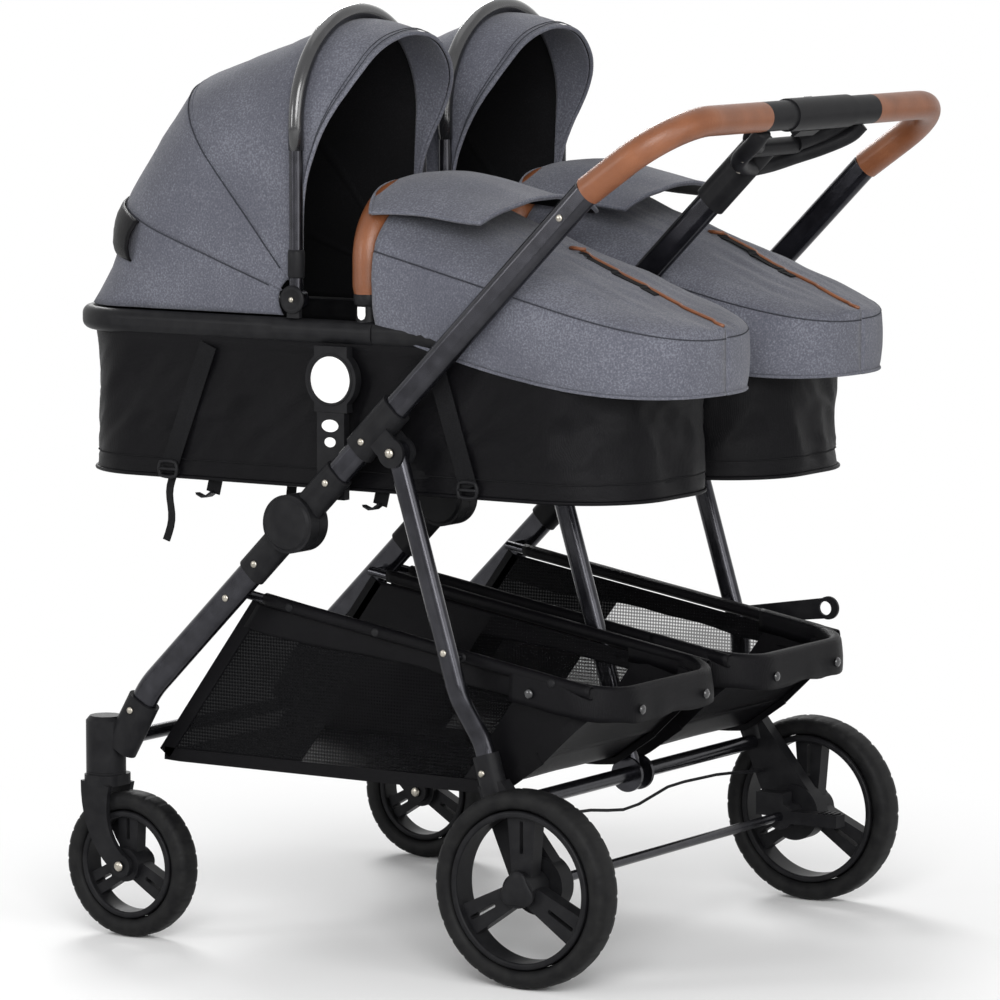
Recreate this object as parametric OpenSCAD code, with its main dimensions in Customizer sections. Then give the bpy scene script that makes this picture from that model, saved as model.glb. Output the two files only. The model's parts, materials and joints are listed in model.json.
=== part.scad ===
// Side-by-side twin pram: folding three-rail chassis, two carrycots, two baskets.
// X points to the pusher's right, Y points forward, Z points up. Millimetres.

/* [Chassis] */
// Distance from the centre line to each outer frame rail
rail_x = 334; // [326:1:350]
// Forward position of the fold hinge
hinge_y = 80; // [70:1:90]
// Height of the fold hinge
hinge_z = 536; // [528:1:544]
// Slope of the long frame rails from the horizontal
rail_angle = 45; // [44:0.5:46]
// Depth of the flat-oval rail tube
rail_depth = 34; // [30:1:36]
// Width of the flat-oval rail tube
rail_width = 20; // [18:1:21]
// Wall of every metal tube
tube_wall = 1.6; // [1.2:0.1:2]
// Length of the upper rail above the fold hinge
upper_len = 587; // [570:1:600]
// Straight length of the front leg below the fold hinge
front_leg_len = 296; // [286:1:300]
// Radius of the fold hinge disc
hinge_r = 36; // [32:1:38]

/* [Rear legs] */
// Distance up the rail from the fold hinge to the leg pivot
pivot_along = 172; // [165:1:180]
// Distance of the leg pivot below the rail
pivot_drop = 38; // [36:1:42]
// Tilt of the rear legs from the vertical
leg_tilt = 17; // [16:0.5:18]
// Straight length of the rear leg above its jog
leg_straight = 290; // [280:1:295]
// Width of the rear leg tube
leg_width = 18; // [16:1:19]
// Depth of the rear leg tube
leg_depth = 26; // [24:1:28]

/* [Wheels] */
// Outer radius of the rear tyre
rear_r = 120; // [112:1:126]
// Width of the rear tyre
rear_w = 42; // [38:1:44]
// Distance from the centre line to the rear wheel's middle
rear_x = 345; // [345:1:356]
// Forward position of the rear axle
rear_y = -260; // [-266:1:-256]
// Outer radius of the front tyre
front_r = 92; // [86:1:95]
// Width of the front tyre
front_w = 36; // [32:1:38]
// Forward position of the caster swivel
caster_y = 370; // [366:1:376]
// Distance of the front axle behind the swivel
caster_trail = 40; // [34:1:44]
// Height of the split between caster housing and fork
caster_z = 206; // [204:1:210]
// Radial depth of each tyre
tyre_depth = 24; // [20:1:28]
// Radius of the axles
axle_r = 6; // [5:0.5:7]

/* [Carrycots] */
// Distance from the centre line to each carrycot's middle
cot_x = 165; // [163:1:167]
// Half width of the carrycot rim
cot_half_w = 145; // [140:1:146]
// Length of the carrycot rim
cot_len = 856; // [846:1:866]
// Distance of the tub's ends inside the ends of the rim
tub_inset = 16; // [10:1:18]
// Overhang of the foot apron past the rim
apron_over = 46; // [40:1:52]
// Height of the middle of the rim tube
rim_z = 768; // [762:1:774]
// Height of the rim tube
rim_h = 30; // [26:1:32]
// Width of the rim tube
rim_w = 22; // [20:1:24]
// Height of the underside of the carrycot
tub_z = 578; // [574:1:590]
// Forward position of the canopy hinge
canopy_y = 100; // [96:1:106]
// Height of the canopy hinge
canopy_z = 806; // [803:1:812]
// Straight side of the canopy bow above its hinge
bow_side = 211; // [200:1:216]
// Half width of the canopy bow
bow_half_w = 136; // [134:1:137]
// Radius of the canopy bow tube
bow_r = 8.5; // [7:0.5:9]

/* [Handle] */
// Downward bend of the handle from the slope of the rails
handle_bend = 10; // [6:1:12]
// Radius of the handle's corners
handle_corner = 80; // [70:1:90]
// Radius of the bare handle tube
handle_r = 14; // [13:0.5:15]
// Thickness of the leather grip
leather_t = 4; // [3:0.5:5]
// Straight length between the rail's end and the handle's corner
handle_reach = 62; // [56:1:68]
// Half length of the black middle moulding
module_half = 132; // [120:1:140]

/* [Baskets] */
// Distance from the centre line to the outer basket rail
basket_outer_x = 297; // [295:1:299]
// Distance from the centre line to the inner basket rail
basket_inner_x = 26; // [25:1:30]
// Radius of the basket rail
basket_rail_r = 6; // [5:0.5:6.5]
// Height of the basket's floor
basket_z = 226; // [224:1:236]
// Thickness of the basket's cloth
basket_t = 3; // [2.5:0.5:4]

/* [Hidden] */
$fn = 48;
running = 0.06;
gap = 0.3;
sides = [-1, 1];
rails = [-1, 0, 1];
black = "#1d1d20";
metal = "#2b2c30";
leather = "#8c4f2a";
grey = "#565a66";

// Tubes: a flat profile is carried along straight runs [length] and bends [radius, angle, heading].

module flat_oval(width, depth) {
    square([width, depth - width], center = true);
    for (s = sides) translate([0, s * (depth - width) / 2]) circle(d = width);
}
module oval_tube(width, depth) {
    difference() {
        flat_oval(width, depth);
        flat_oval(width - 2 * tube_wall, depth - 2 * tube_wall);
    }
}
module round_tube(r) {
    difference() {
        circle(r);
        circle(r - tube_wall);
    }
}
module run(steps, i = 0) {
    if (i < len(steps)) {
        step = steps[i];
        if (len(step) == 1) {
            linear_extrude(step[0]) children();
            translate([0, 0, step[0]]) run(steps, i + 1) children();
        } else {
            rotate([0, 0, step[2]]) translate([step[0], 0, 0]) {
                rotate([90, 0, 180]) rotate_extrude(angle = step[1])
                    translate([step[0], 0]) mirror([1, 0]) rotate(-step[2]) children();
                rotate([0, step[1], 0]) translate([-step[0], 0, 0])
                    rotate([0, 0, -step[2]]) run(steps, i + 1) children();
            }
        }
    }
}
// Stands a run at a point of the frame, heading up and back by the angle from the horizontal.
module heading(x, y, z, angle) translate([x, y, z]) rotate([90 - angle, 0, 0]) children();
module across(x, y, z, r, len) translate([x, y, z]) rotate([0, 90, 0]) cylinder(r = r, h = len, center = true);
module rounded_box2d(wx, wy, r) {
    square([wx - 2 * r, wy], center = true);
    square([wx, wy - 2 * r], center = true);
    for (a = sides, b = sides) translate([a * (wx / 2 - r), b * (wy / 2 - r)]) circle(r);
}

// Front frame.

front_bend_r = 120;
front_bend = 15;
front_end = 30;
leg_end_angle = rail_angle + front_bend;
end_chord = 2 * front_bend_r * sin(front_bend / 2);
leg_end_y = hinge_y + front_leg_len * cos(rail_angle) + end_chord * cos(rail_angle + front_bend / 2)
    + front_end * cos(leg_end_angle);
leg_end_z = hinge_z - front_leg_len * sin(rail_angle) - end_chord * sin(rail_angle + front_bend / 2)
    - front_end * sin(leg_end_angle);
crossbar_r = 9;
crossbar_down = 30;
crossbar_y = leg_end_y + crossbar_down * cos(leg_end_angle);
crossbar_z = leg_end_z - crossbar_down * sin(leg_end_angle);
arm_start = 30;
arm_len = 92;
arm_wall = 3;

module front_leg(x, extra) color(metal)
    heading(x, hinge_y, hinge_z, rail_angle + 180) translate([0, 0, arm_start + 12]) rotate([0, 0, 90])
        run([[front_leg_len - arm_start - 12], [front_bend_r, front_bend, 0], [front_end + extra]])
            rounded_box2d(rail_depth, rail_width, rail_width / 2 - 0.5);
module front_crossbar() color(metal)
    translate([-rail_x + socket_half + gap, crossbar_y, crossbar_z]) rotate([0, 90, 0])
        linear_extrude(2 * (rail_x - socket_half - gap)) round_tube(crossbar_r);

socket_half = rail_width / 2 + 4;
housing_r = 25;
housing_top = leg_end_z - 6;
module caster_housing(s) difference() {
    union() {
        translate([s * rail_x, caster_y, caster_z]) cylinder(r = housing_r, h = housing_top - caster_z);
        translate([s * rail_x, caster_y, housing_top]) cylinder(r1 = housing_r, r2 = housing_r - 5, h = 6);
        heading(s * rail_x, leg_end_y, leg_end_z, leg_end_angle + 180) translate([0, 0, 3 - front_end])
            linear_extrude(front_end - 3 + crossbar_down + 16) flat_oval(2 * socket_half, rail_depth + 10);
    }
    heading(s * rail_x, leg_end_y, leg_end_z, leg_end_angle + 180) translate([0, 0, -front_end])
        linear_extrude(front_end + gap) flat_oval(rail_width + 2 * gap, rail_depth + 2 * gap);
    translate([s * rail_x, caster_y, caster_z - 1]) cylinder(r = stem_r + running, h = stem_h + 1.5);
    translate([s * rail_x, caster_y, caster_z - 50]) cylinder(r = 2 * housing_r, h = 50);
}
module caster_housings() color(black) for (s = sides) caster_housing(s);

// Fold hinge: the lower half carries the pin, the upper half turns on it.

pin_r = 6;
hinge_t = 18;
module hinge_disc(s_in) rotate([0, 90, 0])
    translate([0, 0, s_in > 0 ? gap : -hinge_t]) cylinder(r = hinge_r, h = hinge_t - gap);
module hinge_arm(angle, keep) difference() {
    rotate([90 - angle, 0, 0]) translate([0, 0, 12])
        linear_extrude(arm_len - 12) flat_oval(rail_width + 2 * arm_wall, rail_depth + 2 * arm_wall);
    rotate([0, 90, 0]) translate([0, 0, keep > 0 ? -40 : -gap]) cylinder(r = hinge_r + 1, h = 40 + gap);
}
module fold_lower(s) translate([s * rail_x, hinge_y, hinge_z]) mirror([s > 0 ? 1 : 0, 0, 0]) difference() {
    union() {
        hinge_disc(-1);
        hinge_arm(rail_angle + 180, -1);
        rotate([0, 90, 0]) cylinder(r = pin_r, h = 2 * hinge_t, center = true);
        rotate([0, 90, 0]) translate([0, 0, -hinge_t - 3]) cylinder(r1 = hinge_r - 6, r2 = hinge_r - 3, h = 3.1);
    }
    rotate([90 - rail_angle - 180, 0, 0]) translate([0, 0, arm_start + 12 - gap])
        linear_extrude(arm_len) flat_oval(rail_width + 2 * gap, rail_depth + 2 * gap);
}
module fold_upper(s) translate([s * rail_x, hinge_y, hinge_z]) mirror([s > 0 ? 1 : 0, 0, 0]) difference() {
    union() {
        hinge_disc(1);
        hinge_arm(rail_angle, 1);
    }
    rotate([0, 90, 0]) cylinder(r = pin_r + running, h = 4 * hinge_t, center = true);
    rotate([90 - rail_angle, 0, 0]) translate([0, 0, arm_start + 12 - gap])
        linear_extrude(arm_len) flat_oval(rail_width + 2 * gap, rail_depth + 2 * gap);
}
module fold_hinge_lower() color(black) for (s = rails) fold_lower(s);
module fold_hinge_upper() color(black) for (s = rails) fold_upper(s);

// Upper frame and handle.

module upper_rail(s) color(metal) heading(s * rail_x, hinge_y, hinge_z, rail_angle)
    translate([0, 0, arm_start + 12])
        linear_extrude(upper_len - arm_start - 12) oval_tube(rail_width, rail_depth);

// Leg pivot, worked out in the frame's side plane.
pivot_y = hinge_y - pivot_along * cos(rail_angle) - pivot_drop * sin(rail_angle);
pivot_z = hinge_z + pivot_along * sin(rail_angle) - pivot_drop * cos(rail_angle);
leg_top_r = leg_depth / 2 + 1;
ear_t = 5;
ear_gap = 0.5;
rivet_r = 4;
module leg_bracket(s) difference() {
    union() {
        heading(s * rail_x, hinge_y, hinge_z, rail_angle) translate([0, 0, pivot_along - 38])
            linear_extrude(76) flat_oval(rail_width + 8, rail_depth + 8);
        for (e = sides) translate([s * rail_x + e * (leg_width / 2 + ear_gap + ear_t / 2), 0, 0]) {
            across(0, pivot_y, pivot_z, leg_top_r + 4, ear_t);
            translate([0, hinge_y, hinge_z]) rotate([90 - rail_angle, 0, 0])
                translate([gap - ear_t / 2, -pivot_drop, pivot_along - leg_top_r - 2])
                    cube([ear_t - 2 * gap, pivot_drop - 13, 2 * leg_top_r + 4]);
        }
        across(s * rail_x, pivot_y, pivot_z, rivet_r, leg_width + 2 * (ear_gap + ear_t) + 3);
    }
    heading(s * rail_x, hinge_y, hinge_z, rail_angle)
        linear_extrude(upper_len) flat_oval(rail_width + 2 * gap, rail_depth + 2 * gap);
}
module leg_brackets() color(black) for (s = rails) leg_bracket(s);

// Handle: leather-covered arms that start at the ends of the outer rails and turn in to the middle bar.
handle_slope = rail_angle - handle_bend;
handle_start = 4;
rail_end_y = hinge_y - upper_len * cos(rail_angle);
rail_end_z = hinge_z + upper_len * sin(rail_angle);
bar_y = rail_end_y - (handle_start + handle_reach + handle_corner) * cos(handle_slope);
bar_z = rail_end_z + (handle_start + handle_reach + handle_corner) * sin(handle_slope);
module grip() heading(-rail_x, rail_end_y, rail_end_z, handle_slope) translate([0, 0, handle_start])
    run([[handle_reach], [handle_corner, 90, 0], [rail_x - handle_corner - module_half]])
        circle(handle_r + leather_t);
module grips() color(leather) {
    grip();
    mirror([1, 0, 0]) grip();
}

// Middle moulding with its carrying loop, which also takes the end of the middle rail.
module_r = handle_r + 6;
loop_half = 100;
loop_r = 11;
loop_drop = 74;
module handlebar() color(metal) across(0, bar_y, bar_z, handle_r, 2 * (module_half - gap));
module in_handle_plane() translate([0, bar_y, bar_z]) rotate([90 - handle_slope - 180, 0, 0]) children();
module handle_module() color(black) difference() {
    union() {
        across(0, bar_y, bar_z, module_r - 2, 2 * module_half - 2 * gap);
        across(0, bar_y, bar_z, module_r, 2 * module_half - 120);
        in_handle_plane() for (s = sides) translate([s * loop_half, 0, 0])
            run([[18], [40, 65, s > 0 ? 180 : 0], [32]]) circle(loop_r);
        in_handle_plane() translate([0, 0, loop_drop]) rotate([0, 90, 0])
            cylinder(r = loop_r, h = 110, center = true);
        heading(0, hinge_y, hinge_z, rail_angle) translate([0, 0, upper_len - 40])
            linear_extrude(112) flat_oval(rail_width + 10, rail_depth + 8);
    }
    across(0, bar_y, bar_z, handle_r + gap, 2 * module_half);
    heading(0, hinge_y, hinge_z, rail_angle)
        linear_extrude(upper_len + gap) flat_oval(rail_width + 2 * gap, rail_depth + 2 * gap);
    in_handle_plane() translate([-trigger_half - gap, -14, module_r - 10]) cube([2 * (trigger_half + gap), 28, 20]);
    in_handle_plane() translate([-slider_pocket, -module_r - 1, -7]) cube([2 * slider_pocket, 7, 14]);
}
trigger_half = 24;
slider_pocket = 20;
module fold_trigger() color(black) in_handle_plane() {
    translate([-trigger_half, -13, module_r - 1]) cube([2 * trigger_half, 26, 12]);
}
module safety_slider() color(black) in_handle_plane() {
    translate([-slider_pocket + gap, -module_r + 0.6, -6]) cube([26, 4, 12]);
    for (i = [0:3]) translate([-slider_pocket + 5 + 5 * i, -module_r - 1, -5]) cube([2, 2, 10]);
}

// Adaptor posts between the fold hinge's upper arms and the carrycots.
arm_half = rail_width / 2 + arm_wall;
post_y = 37;
post_w = 40;
post_low = 566;
post_top = 672;
tub_half_w = cot_half_w - 2;
module adaptor_post(x0, x1) translate([min(x0, x1), post_y - post_w / 2, post_low]) difference() {
    cube([abs(x1 - x0), post_w, post_top - post_low]);
    translate([-1, post_w / 2, post_top - post_low - 14]) rotate([0, 90, 0])
        cylinder(r = 5, h = abs(x1 - x0) + 2);
}
module adaptor_posts() color(black) for (s = sides) {
    adaptor_post(s * (rail_x - arm_half - gap), s * (cot_x + tub_half_w + 1.5));
    adaptor_post(s * (arm_half + gap), s * (cot_x - tub_half_w - 1.5));
}

// Rear frame.

rear_z = rear_r;
jog_r = 60;
jog_angle = 24;
jog_len = 38;
leg_foot = 40;
jog_in = 2 * jog_r * (1 - cos(jog_angle)) + jog_len * sin(jog_angle);
leg_total = leg_straight + 2 * jog_r * sin(jog_angle) + jog_len * cos(jog_angle) + leg_foot;
foot_y = pivot_y - leg_total * sin(leg_tilt);
foot_z = pivot_z - leg_total * cos(leg_tilt);
foot_x = rail_x - jog_in;
rear_bar_r = 9.5;
rear_bar_down = 30;
rear_bar_y = foot_y - rear_bar_down * sin(leg_tilt);
rear_bar_z = foot_z - rear_bar_down * cos(leg_tilt);
leg_heading = leg_tilt - 90;
stub_y = pivot_y - 248 * sin(leg_tilt);
lever_along = 280;
lever_y = pivot_y - lever_along * sin(leg_tilt);
lever_z = pivot_z - lever_along * cos(leg_tilt);
lever_pin_r = 5;
leg_start = 7;
module rear_leg(x, steps) difference() {
    union() {
        across(x, pivot_y, pivot_z, leg_top_r, leg_width - 1);
        heading(x, pivot_y, pivot_z, leg_heading) translate([0, 0, leg_start]) run(steps)
            flat_oval(leg_width, leg_depth);
    }
    across(x, pivot_y, pivot_z, rivet_r + running, 2 * leg_width);
}
module outer_leg(s) rear_leg(s * rail_x, [[leg_straight - leg_start], [jog_r, jog_angle, s > 0 ? 180 : 0], [jog_len],
    [jog_r, jog_angle, s > 0 ? 0 : 180], [leg_foot]]);
module rear_leg_left() color(metal) outer_leg(-1);
module rear_leg_right() color(metal) {
    outer_leg(1);
    across(rail_x + leg_width / 2 + 2.5, lever_y, lever_z, lever_pin_r, 7);
}
module rear_leg_middle() color(metal) rear_leg(0, [[leg_total + rear_bar_down - rear_bar_r - gap - leg_start]]);
hub_half = leg_width / 2 + 4;
bar_half = foot_x - hub_half - gap;
module rear_crossbar() color(metal) {
    translate([-bar_half, rear_bar_y, rear_bar_z]) rotate([0, 90, 0])
        linear_extrude(2 * bar_half) round_tube(rear_bar_r);
    for (e = sides) difference() {
        across(e * (leg_width / 2 + 4), rear_bar_y, rear_bar_z, 22, 5);
        across(0, rear_bar_y, rear_bar_z, rear_bar_r - 1, 60);
    }
}
axle_end = rear_x + rear_w / 2 - 3;
module rear_axle() color(metal) across(0, rear_y, rear_z, axle_r, 2 * axle_end);

// Hub housing: a drum on the axle, a web and the socket for the leg's foot.
drum_r = 36;
module hub_housing(s) difference() {
    union() {
        across(s * foot_x, rear_y, rear_z, drum_r, 2 * hub_half);
        across(s * (foot_x - hub_half - 6), rear_y, rear_z, 14, 12.5);
        translate([s * foot_x - hub_half + 3, 0, 0]) rotate([90, 0, 90]) linear_extrude(2 * hub_half - 6)
            polygon([[foot_y - 17, foot_z + 6], [foot_y + 16, foot_z - 4], [rear_y + 33, rear_z - 12],
                [rear_y - 22, rear_z + 28]]);
        heading(s * foot_x, foot_y, foot_z, leg_heading) translate([0, 0, 4 - leg_foot])
            linear_extrude(leg_foot + 24) flat_oval(2 * hub_half, leg_depth + 8);
    }
    across(s * foot_x, rear_y, rear_z, axle_r + running, 6 * hub_half);
    heading(s * foot_x, foot_y, foot_z, leg_heading) translate([0, 0, -leg_foot - 1])
        linear_extrude(leg_foot + 1 + gap) flat_oval(leg_width + 2 * gap, leg_depth + 2 * gap);
}
module hub_housings() color(black) for (s = sides) hub_housing(s);

// Rocking brake pedal beside the right hub.
pedal_x = foot_x - hub_half - 12 - 14;
pedal_w = 22;
module brake_pedal() color(black) difference() {
    union() {
        across(pedal_x, rear_y, rear_z, 17, pedal_w);
        translate([pedal_x - pedal_w / 2, rear_y - 84, rear_z - 8]) cube([pedal_w, 84, 16]);
        for (i = [0:3]) translate([pedal_x - pedal_w / 2 + 2, rear_y - 80 + 7 * i, rear_z + 7])
            cube([pedal_w - 4, 3, 3]);
        translate([pedal_x - pedal_w / 2, rear_y - 6, rear_z]) cube([pedal_w, 40, 30]);
    }
    across(pedal_x, rear_y, rear_z, axle_r + running, 2 * pedal_w);
}

// Brake cable: points from the left housing to the right one, under the crossbar.
cable_r = 2;
cable_route = [
    [-297.6, -214, 170], [-270, -214, 172], [-240, -214, 178], [-200, -213, 182], [-160, -212, 181],
    [-120, -211, 178], [-80, -211, 172], [-45, -212, 168], [-10, -213, 170], [25, -213, 176],
    [60, -213, 182], [100, -213, 183], [140, -213, 182], [180, -213, 181], [220, -214, 178],
    [258, -214, 174], [297.6, -214, 170]
];
cable_sides = 8;
module cable(route) {
    rings = [for (p = route, a = [0:cable_sides - 1])
        [p[0], p[1] + cable_r * cos(a * 360 / cable_sides), p[2] + cable_r * sin(a * 360 / cable_sides)]];
    walls = [for (i = [0:len(route) - 2], a = [0:cable_sides - 1]) let (
        b = (a + 1) % cable_sides, p = i * cable_sides + a, q = i * cable_sides + b)
        each [[p, q, q + cable_sides], [p, q + cable_sides, p + cable_sides]]];
    last = (len(route) - 1) * cable_sides;
    polyhedron(rings, concat(walls, [for (a = [1:cable_sides - 2]) [0, a + 1, a]],
        [for (a = [1:cable_sides - 2]) [last, last + a, last + a + 1]]));
}
module brake_cable() color(black) cable(cable_route);

// Transport latch: a flat lever with an eye, turning on the right rear leg.
lever_t = 4;
lever_len = 132;
module fold_lever() color(black) translate([rail_x + leg_width / 2 + 1.2, lever_y, lever_z]) rotate([-8, 0, 0])
    rotate([90, 0, 90]) linear_extrude(lever_t) difference() {
        union() {
            circle(13);
            polygon([[0, 11], [0, -11], [-lever_len, -13.5], [-lever_len, 13.5]]);
            translate([-lever_len, 0]) circle(15);
        }
        circle(lever_pin_r + running);
        translate([-lever_len + 4, 0]) circle(9);
    }

// Baskets: U-shaped rails that turn on the front legs, with a hanging cloth tray in each.

tray_along = 139;
tray_y = hinge_y + tray_along * cos(rail_angle);
tray_z = hinge_z - tray_along * sin(rail_angle);
tray_slope = 9.5;
tray_len = 529;
tray_corner = 60;
rail_span = basket_outer_x - basket_inner_x;
module basket_frame() {
    heading(-basket_outer_x, tray_y, tray_z, -tray_slope)
        run([[tray_len - tray_corner], [tray_corner, 90, 0], [rail_span - 2 * tray_corner],
            [tray_corner, 90, 0], [tray_len - tray_corner]]) circle(basket_rail_r);
    across(-(rail_x - rail_width / 2 - gap + basket_outer_x) / 2, tray_y - 4, tray_z, 4,
        rail_x - rail_width / 2 - gap - basket_outer_x);
    across(-(rail_width / 2 + gap + basket_inner_x) / 2, tray_y - 4, tray_z, 4,
        basket_inner_x - rail_width / 2 - gap);
    stub_z = tray_z - (tray_y - stub_y) * tan(tray_slope);
    across(-(rail_x - leg_width / 2 - gap + basket_outer_x) / 2, stub_y, stub_z, 4,
        rail_x - leg_width / 2 - gap - basket_outer_x);
}
module basket_frames() color(metal) for (s = [0, 1]) mirror([s, 0, 0]) basket_frame();

function tray_top(y) = tray_z - (tray_y - y) * tan(tray_slope);
tray_front_y = 318;
tray_back_y = -190;
tray_lip_y = tray_y - (tray_len - basket_rail_r - 6) * cos(tray_slope);
function tray_outline(t) = [
    [tray_y - 10 - t, tray_top(tray_y) - 2 + 20 * (t > 0 ? 1 : 0)], [tray_front_y - 2 * t, basket_z + t],
    [tray_back_y + t, basket_z + t], [tray_back_y - 60 + t, basket_z + 45 + t],
    [tray_lip_y + 2 * t, tray_top(tray_lip_y) - 2], [tray_lip_y + 2 * t, tray_top(tray_lip_y) - 2 + (t > 0 ? 20 : 0)]
];
module basket() {
    lo = basket_inner_x + basket_rail_r + gap;
    hi = basket_outer_x - basket_rail_r - gap;
    difference() {
        translate([lo, 0, 0]) rotate([90, 0, 90]) linear_extrude(hi - lo) polygon(tray_outline(0));
        translate([lo + basket_t, 0, 0]) rotate([90, 0, 90]) linear_extrude(hi - lo - 2 * basket_t)
            polygon(tray_outline(basket_t));
        for (x = [lo, hi]) translate([x, 0, 0]) corner_cut(x == lo ? 1 : -1);
    }
}
// Rounds the tray's back corners to follow the bend of the rail.
module corner_cut(way) translate([0, tray_lip_y, 0]) linear_extrude(hinge_z) difference() {
    translate([way > 0 ? -1 : -tray_corner, -40]) square([tray_corner + 1, tray_corner + 34]);
    translate([way * (tray_corner - 6), tray_corner - 6]) circle(tray_corner - 6);
}
module basket_right() color(black) basket();
module basket_left() color(black) mirror([1, 0, 0]) basket();

// Wheels.

module wheel_at(x, y, r) translate([x, y, r]) rotate([0, 90, 0]) children();
module tyre(r, w) rotate_extrude() translate([r - tyre_depth / 2, 0]) rounded_box2d(tyre_depth, w, 8);
module rim(r, w) {
    band = r - tyre_depth - gap;
    rotate_extrude() translate([band - 4, 0]) rounded_box2d(8, w - 4, 3);
    difference() {
        union() {
            cylinder(r = 21, h = w - 2, center = true);
            for (a = [180, 300, 60]) rotate([0, 0, a]) translate([0, 0, -w / 4]) linear_extrude(w / 2)
                difference() {
                    polygon([[10, -13], [band - 6, -r / 6], [band - 6, r / 6], [10, 13]]);
                    translate([band * 0.66, 0]) rotate(90) flat_oval(5, band * 0.42);
                }
        }
        cylinder(r = axle_r + running, h = 2 * w, center = true);
    }
}
front_y = caster_y - caster_trail;
module front_tyre_left() color(black) wheel_at(-rail_x, front_y, front_r) tyre(front_r, front_w);
module front_tyre_right() color(black) wheel_at(rail_x, front_y, front_r) tyre(front_r, front_w);
module front_rim_left() color(black) wheel_at(-rail_x, front_y, front_r) rim(front_r, front_w);
module front_rim_right() color(black) wheel_at(rail_x, front_y, front_r) rim(front_r, front_w);
module rear_tyre_left() color(black) wheel_at(-rear_x, rear_y, rear_r) tyre(rear_r, rear_w);
module rear_tyre_right() color(black) wheel_at(rear_x, rear_y, rear_r) tyre(rear_r, rear_w);
module rear_rim_left() color(black) wheel_at(-rear_x, rear_y, rear_r) rim(rear_r, rear_w);
module rear_rim_right() color(black) wheel_at(rear_x, rear_y, rear_r) rim(rear_r, rear_w);

// Caster fork with its stem and axle bolt.
stem_r = 8;
stem_h = 40;
crown_z = 2 * front_r + 5;
cheek_in = front_w / 2 + 2;
cheek_t = 7;
cheek_steps = 10;
cheek_knee = [caster_y + 6, crown_z - 62];
// A point of the cheek's curved middle line, and half its width there.
function cheek_mid(t) = (1 - t) * (1 - t) * [caster_y - 2, crown_z + 4] + 2 * t * (1 - t) * cheek_knee + t * t * [front_y, front_r];
function cheek_side(t) = let (d = cheek_mid(t + 0.01) - cheek_mid(t - 0.01)) [d[1], -d[0]] / norm(d);
function cheek_half(t) = 22 - 16 * t + 7 * t * t;
module cheek() {
    polygon(concat(
        [for (i = [0:cheek_steps]) let (t = i / cheek_steps) cheek_mid(t) + cheek_half(t) * cheek_side(t)],
        [for (i = [cheek_steps:-1:0]) let (t = i / cheek_steps) cheek_mid(t) - cheek_half(t) * cheek_side(t)]));
    translate([front_y, front_r]) circle(cheek_half(1) + 1.5);
}
module fork(x) color(black) {
    translate([x, caster_y, crown_z + 1]) cylinder(r = housing_r, h = caster_z - gap - crown_z - 1);
    translate([x, caster_y, caster_z - gap - 1]) cylinder(r = stem_r, h = stem_h);
    translate([x, caster_y - 2, crown_z]) linear_extrude(caster_z - gap - crown_z - 3)
        rounded_box2d(2 * (cheek_in + cheek_t) + 1, 48, 17);
    for (s = sides) translate([x + s * (cheek_in + cheek_t / 2) - cheek_t / 2, 0, 0]) rotate([90, 0, 90])
        linear_extrude(cheek_t) cheek();
    across(x, front_y, front_r, axle_r, 2 * (cheek_in + cheek_t) + 4);
}
module fork_left() fork(-rail_x);
module fork_right() fork(rail_x);

// Carrycots.

cot_front = module_r - bar_y;
cot_mid = cot_front - cot_len / 2;
rim_corner = 100;
rim_half = cot_half_w - rim_w / 2;
rim_top = rim_z + rim_h / 2;
rim_low = rim_z - rim_h / 2;
// Two U-shaped tubes meet in a moulded sleeve on each side of the cot.
sleeve_y = 57.5;
sleeve_len = 145;
sleeve_w = rim_w + 4;
module rim_end(s, start, stop) translate([s * cot_x - rim_half, start, rim_z]) rotate([-90, 0, 0])
    run([[stop - rim_w / 2 - rim_corner - start], [rim_corner, 90, 0], [2 * (rim_half - rim_corner)],
        [rim_corner, 90, 0], [stop - rim_w / 2 - rim_corner - start]]) flat_oval(rim_w, rim_h);
module cot_rim(s) color(black) {
    rim_end(s, sleeve_y + sleeve_len / 2 + gap, cot_front);
    mirror([0, 1, 0]) rim_end(s, sleeve_len / 2 + gap - sleeve_y, cot_len - cot_front);
    for (e = sides) translate([s * cot_x + e * rim_half, sleeve_y - sleeve_len / 2, rim_z]) rotate([-90, 0, 0])
        linear_extrude(sleeve_len) flat_oval(sleeve_w, rim_h);
}
tub_t = 4;
mattress_h = 36;
module cot_shape(s, inset, ends) translate([s * cot_x, cot_mid])
    rounded_box2d(2 * (tub_half_w - inset), cot_len - 4 - 2 * (inset + ends), rim_corner + rim_w / 2 - inset);
module cot_tub(s) color(black) difference() {
    translate([0, 0, tub_z]) linear_extrude(rim_low - gap - tub_z) cot_shape(s, 0, tub_inset);
    translate([0, 0, tub_z + tub_t]) linear_extrude(rim_z) cot_shape(s, tub_t, tub_inset);
}
module cot_mattress(s) color("#26262a") translate([0, 0, tub_z + tub_t + gap])
    linear_extrude(mattress_h) cot_shape(s, tub_t + 3, tub_inset);

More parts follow.
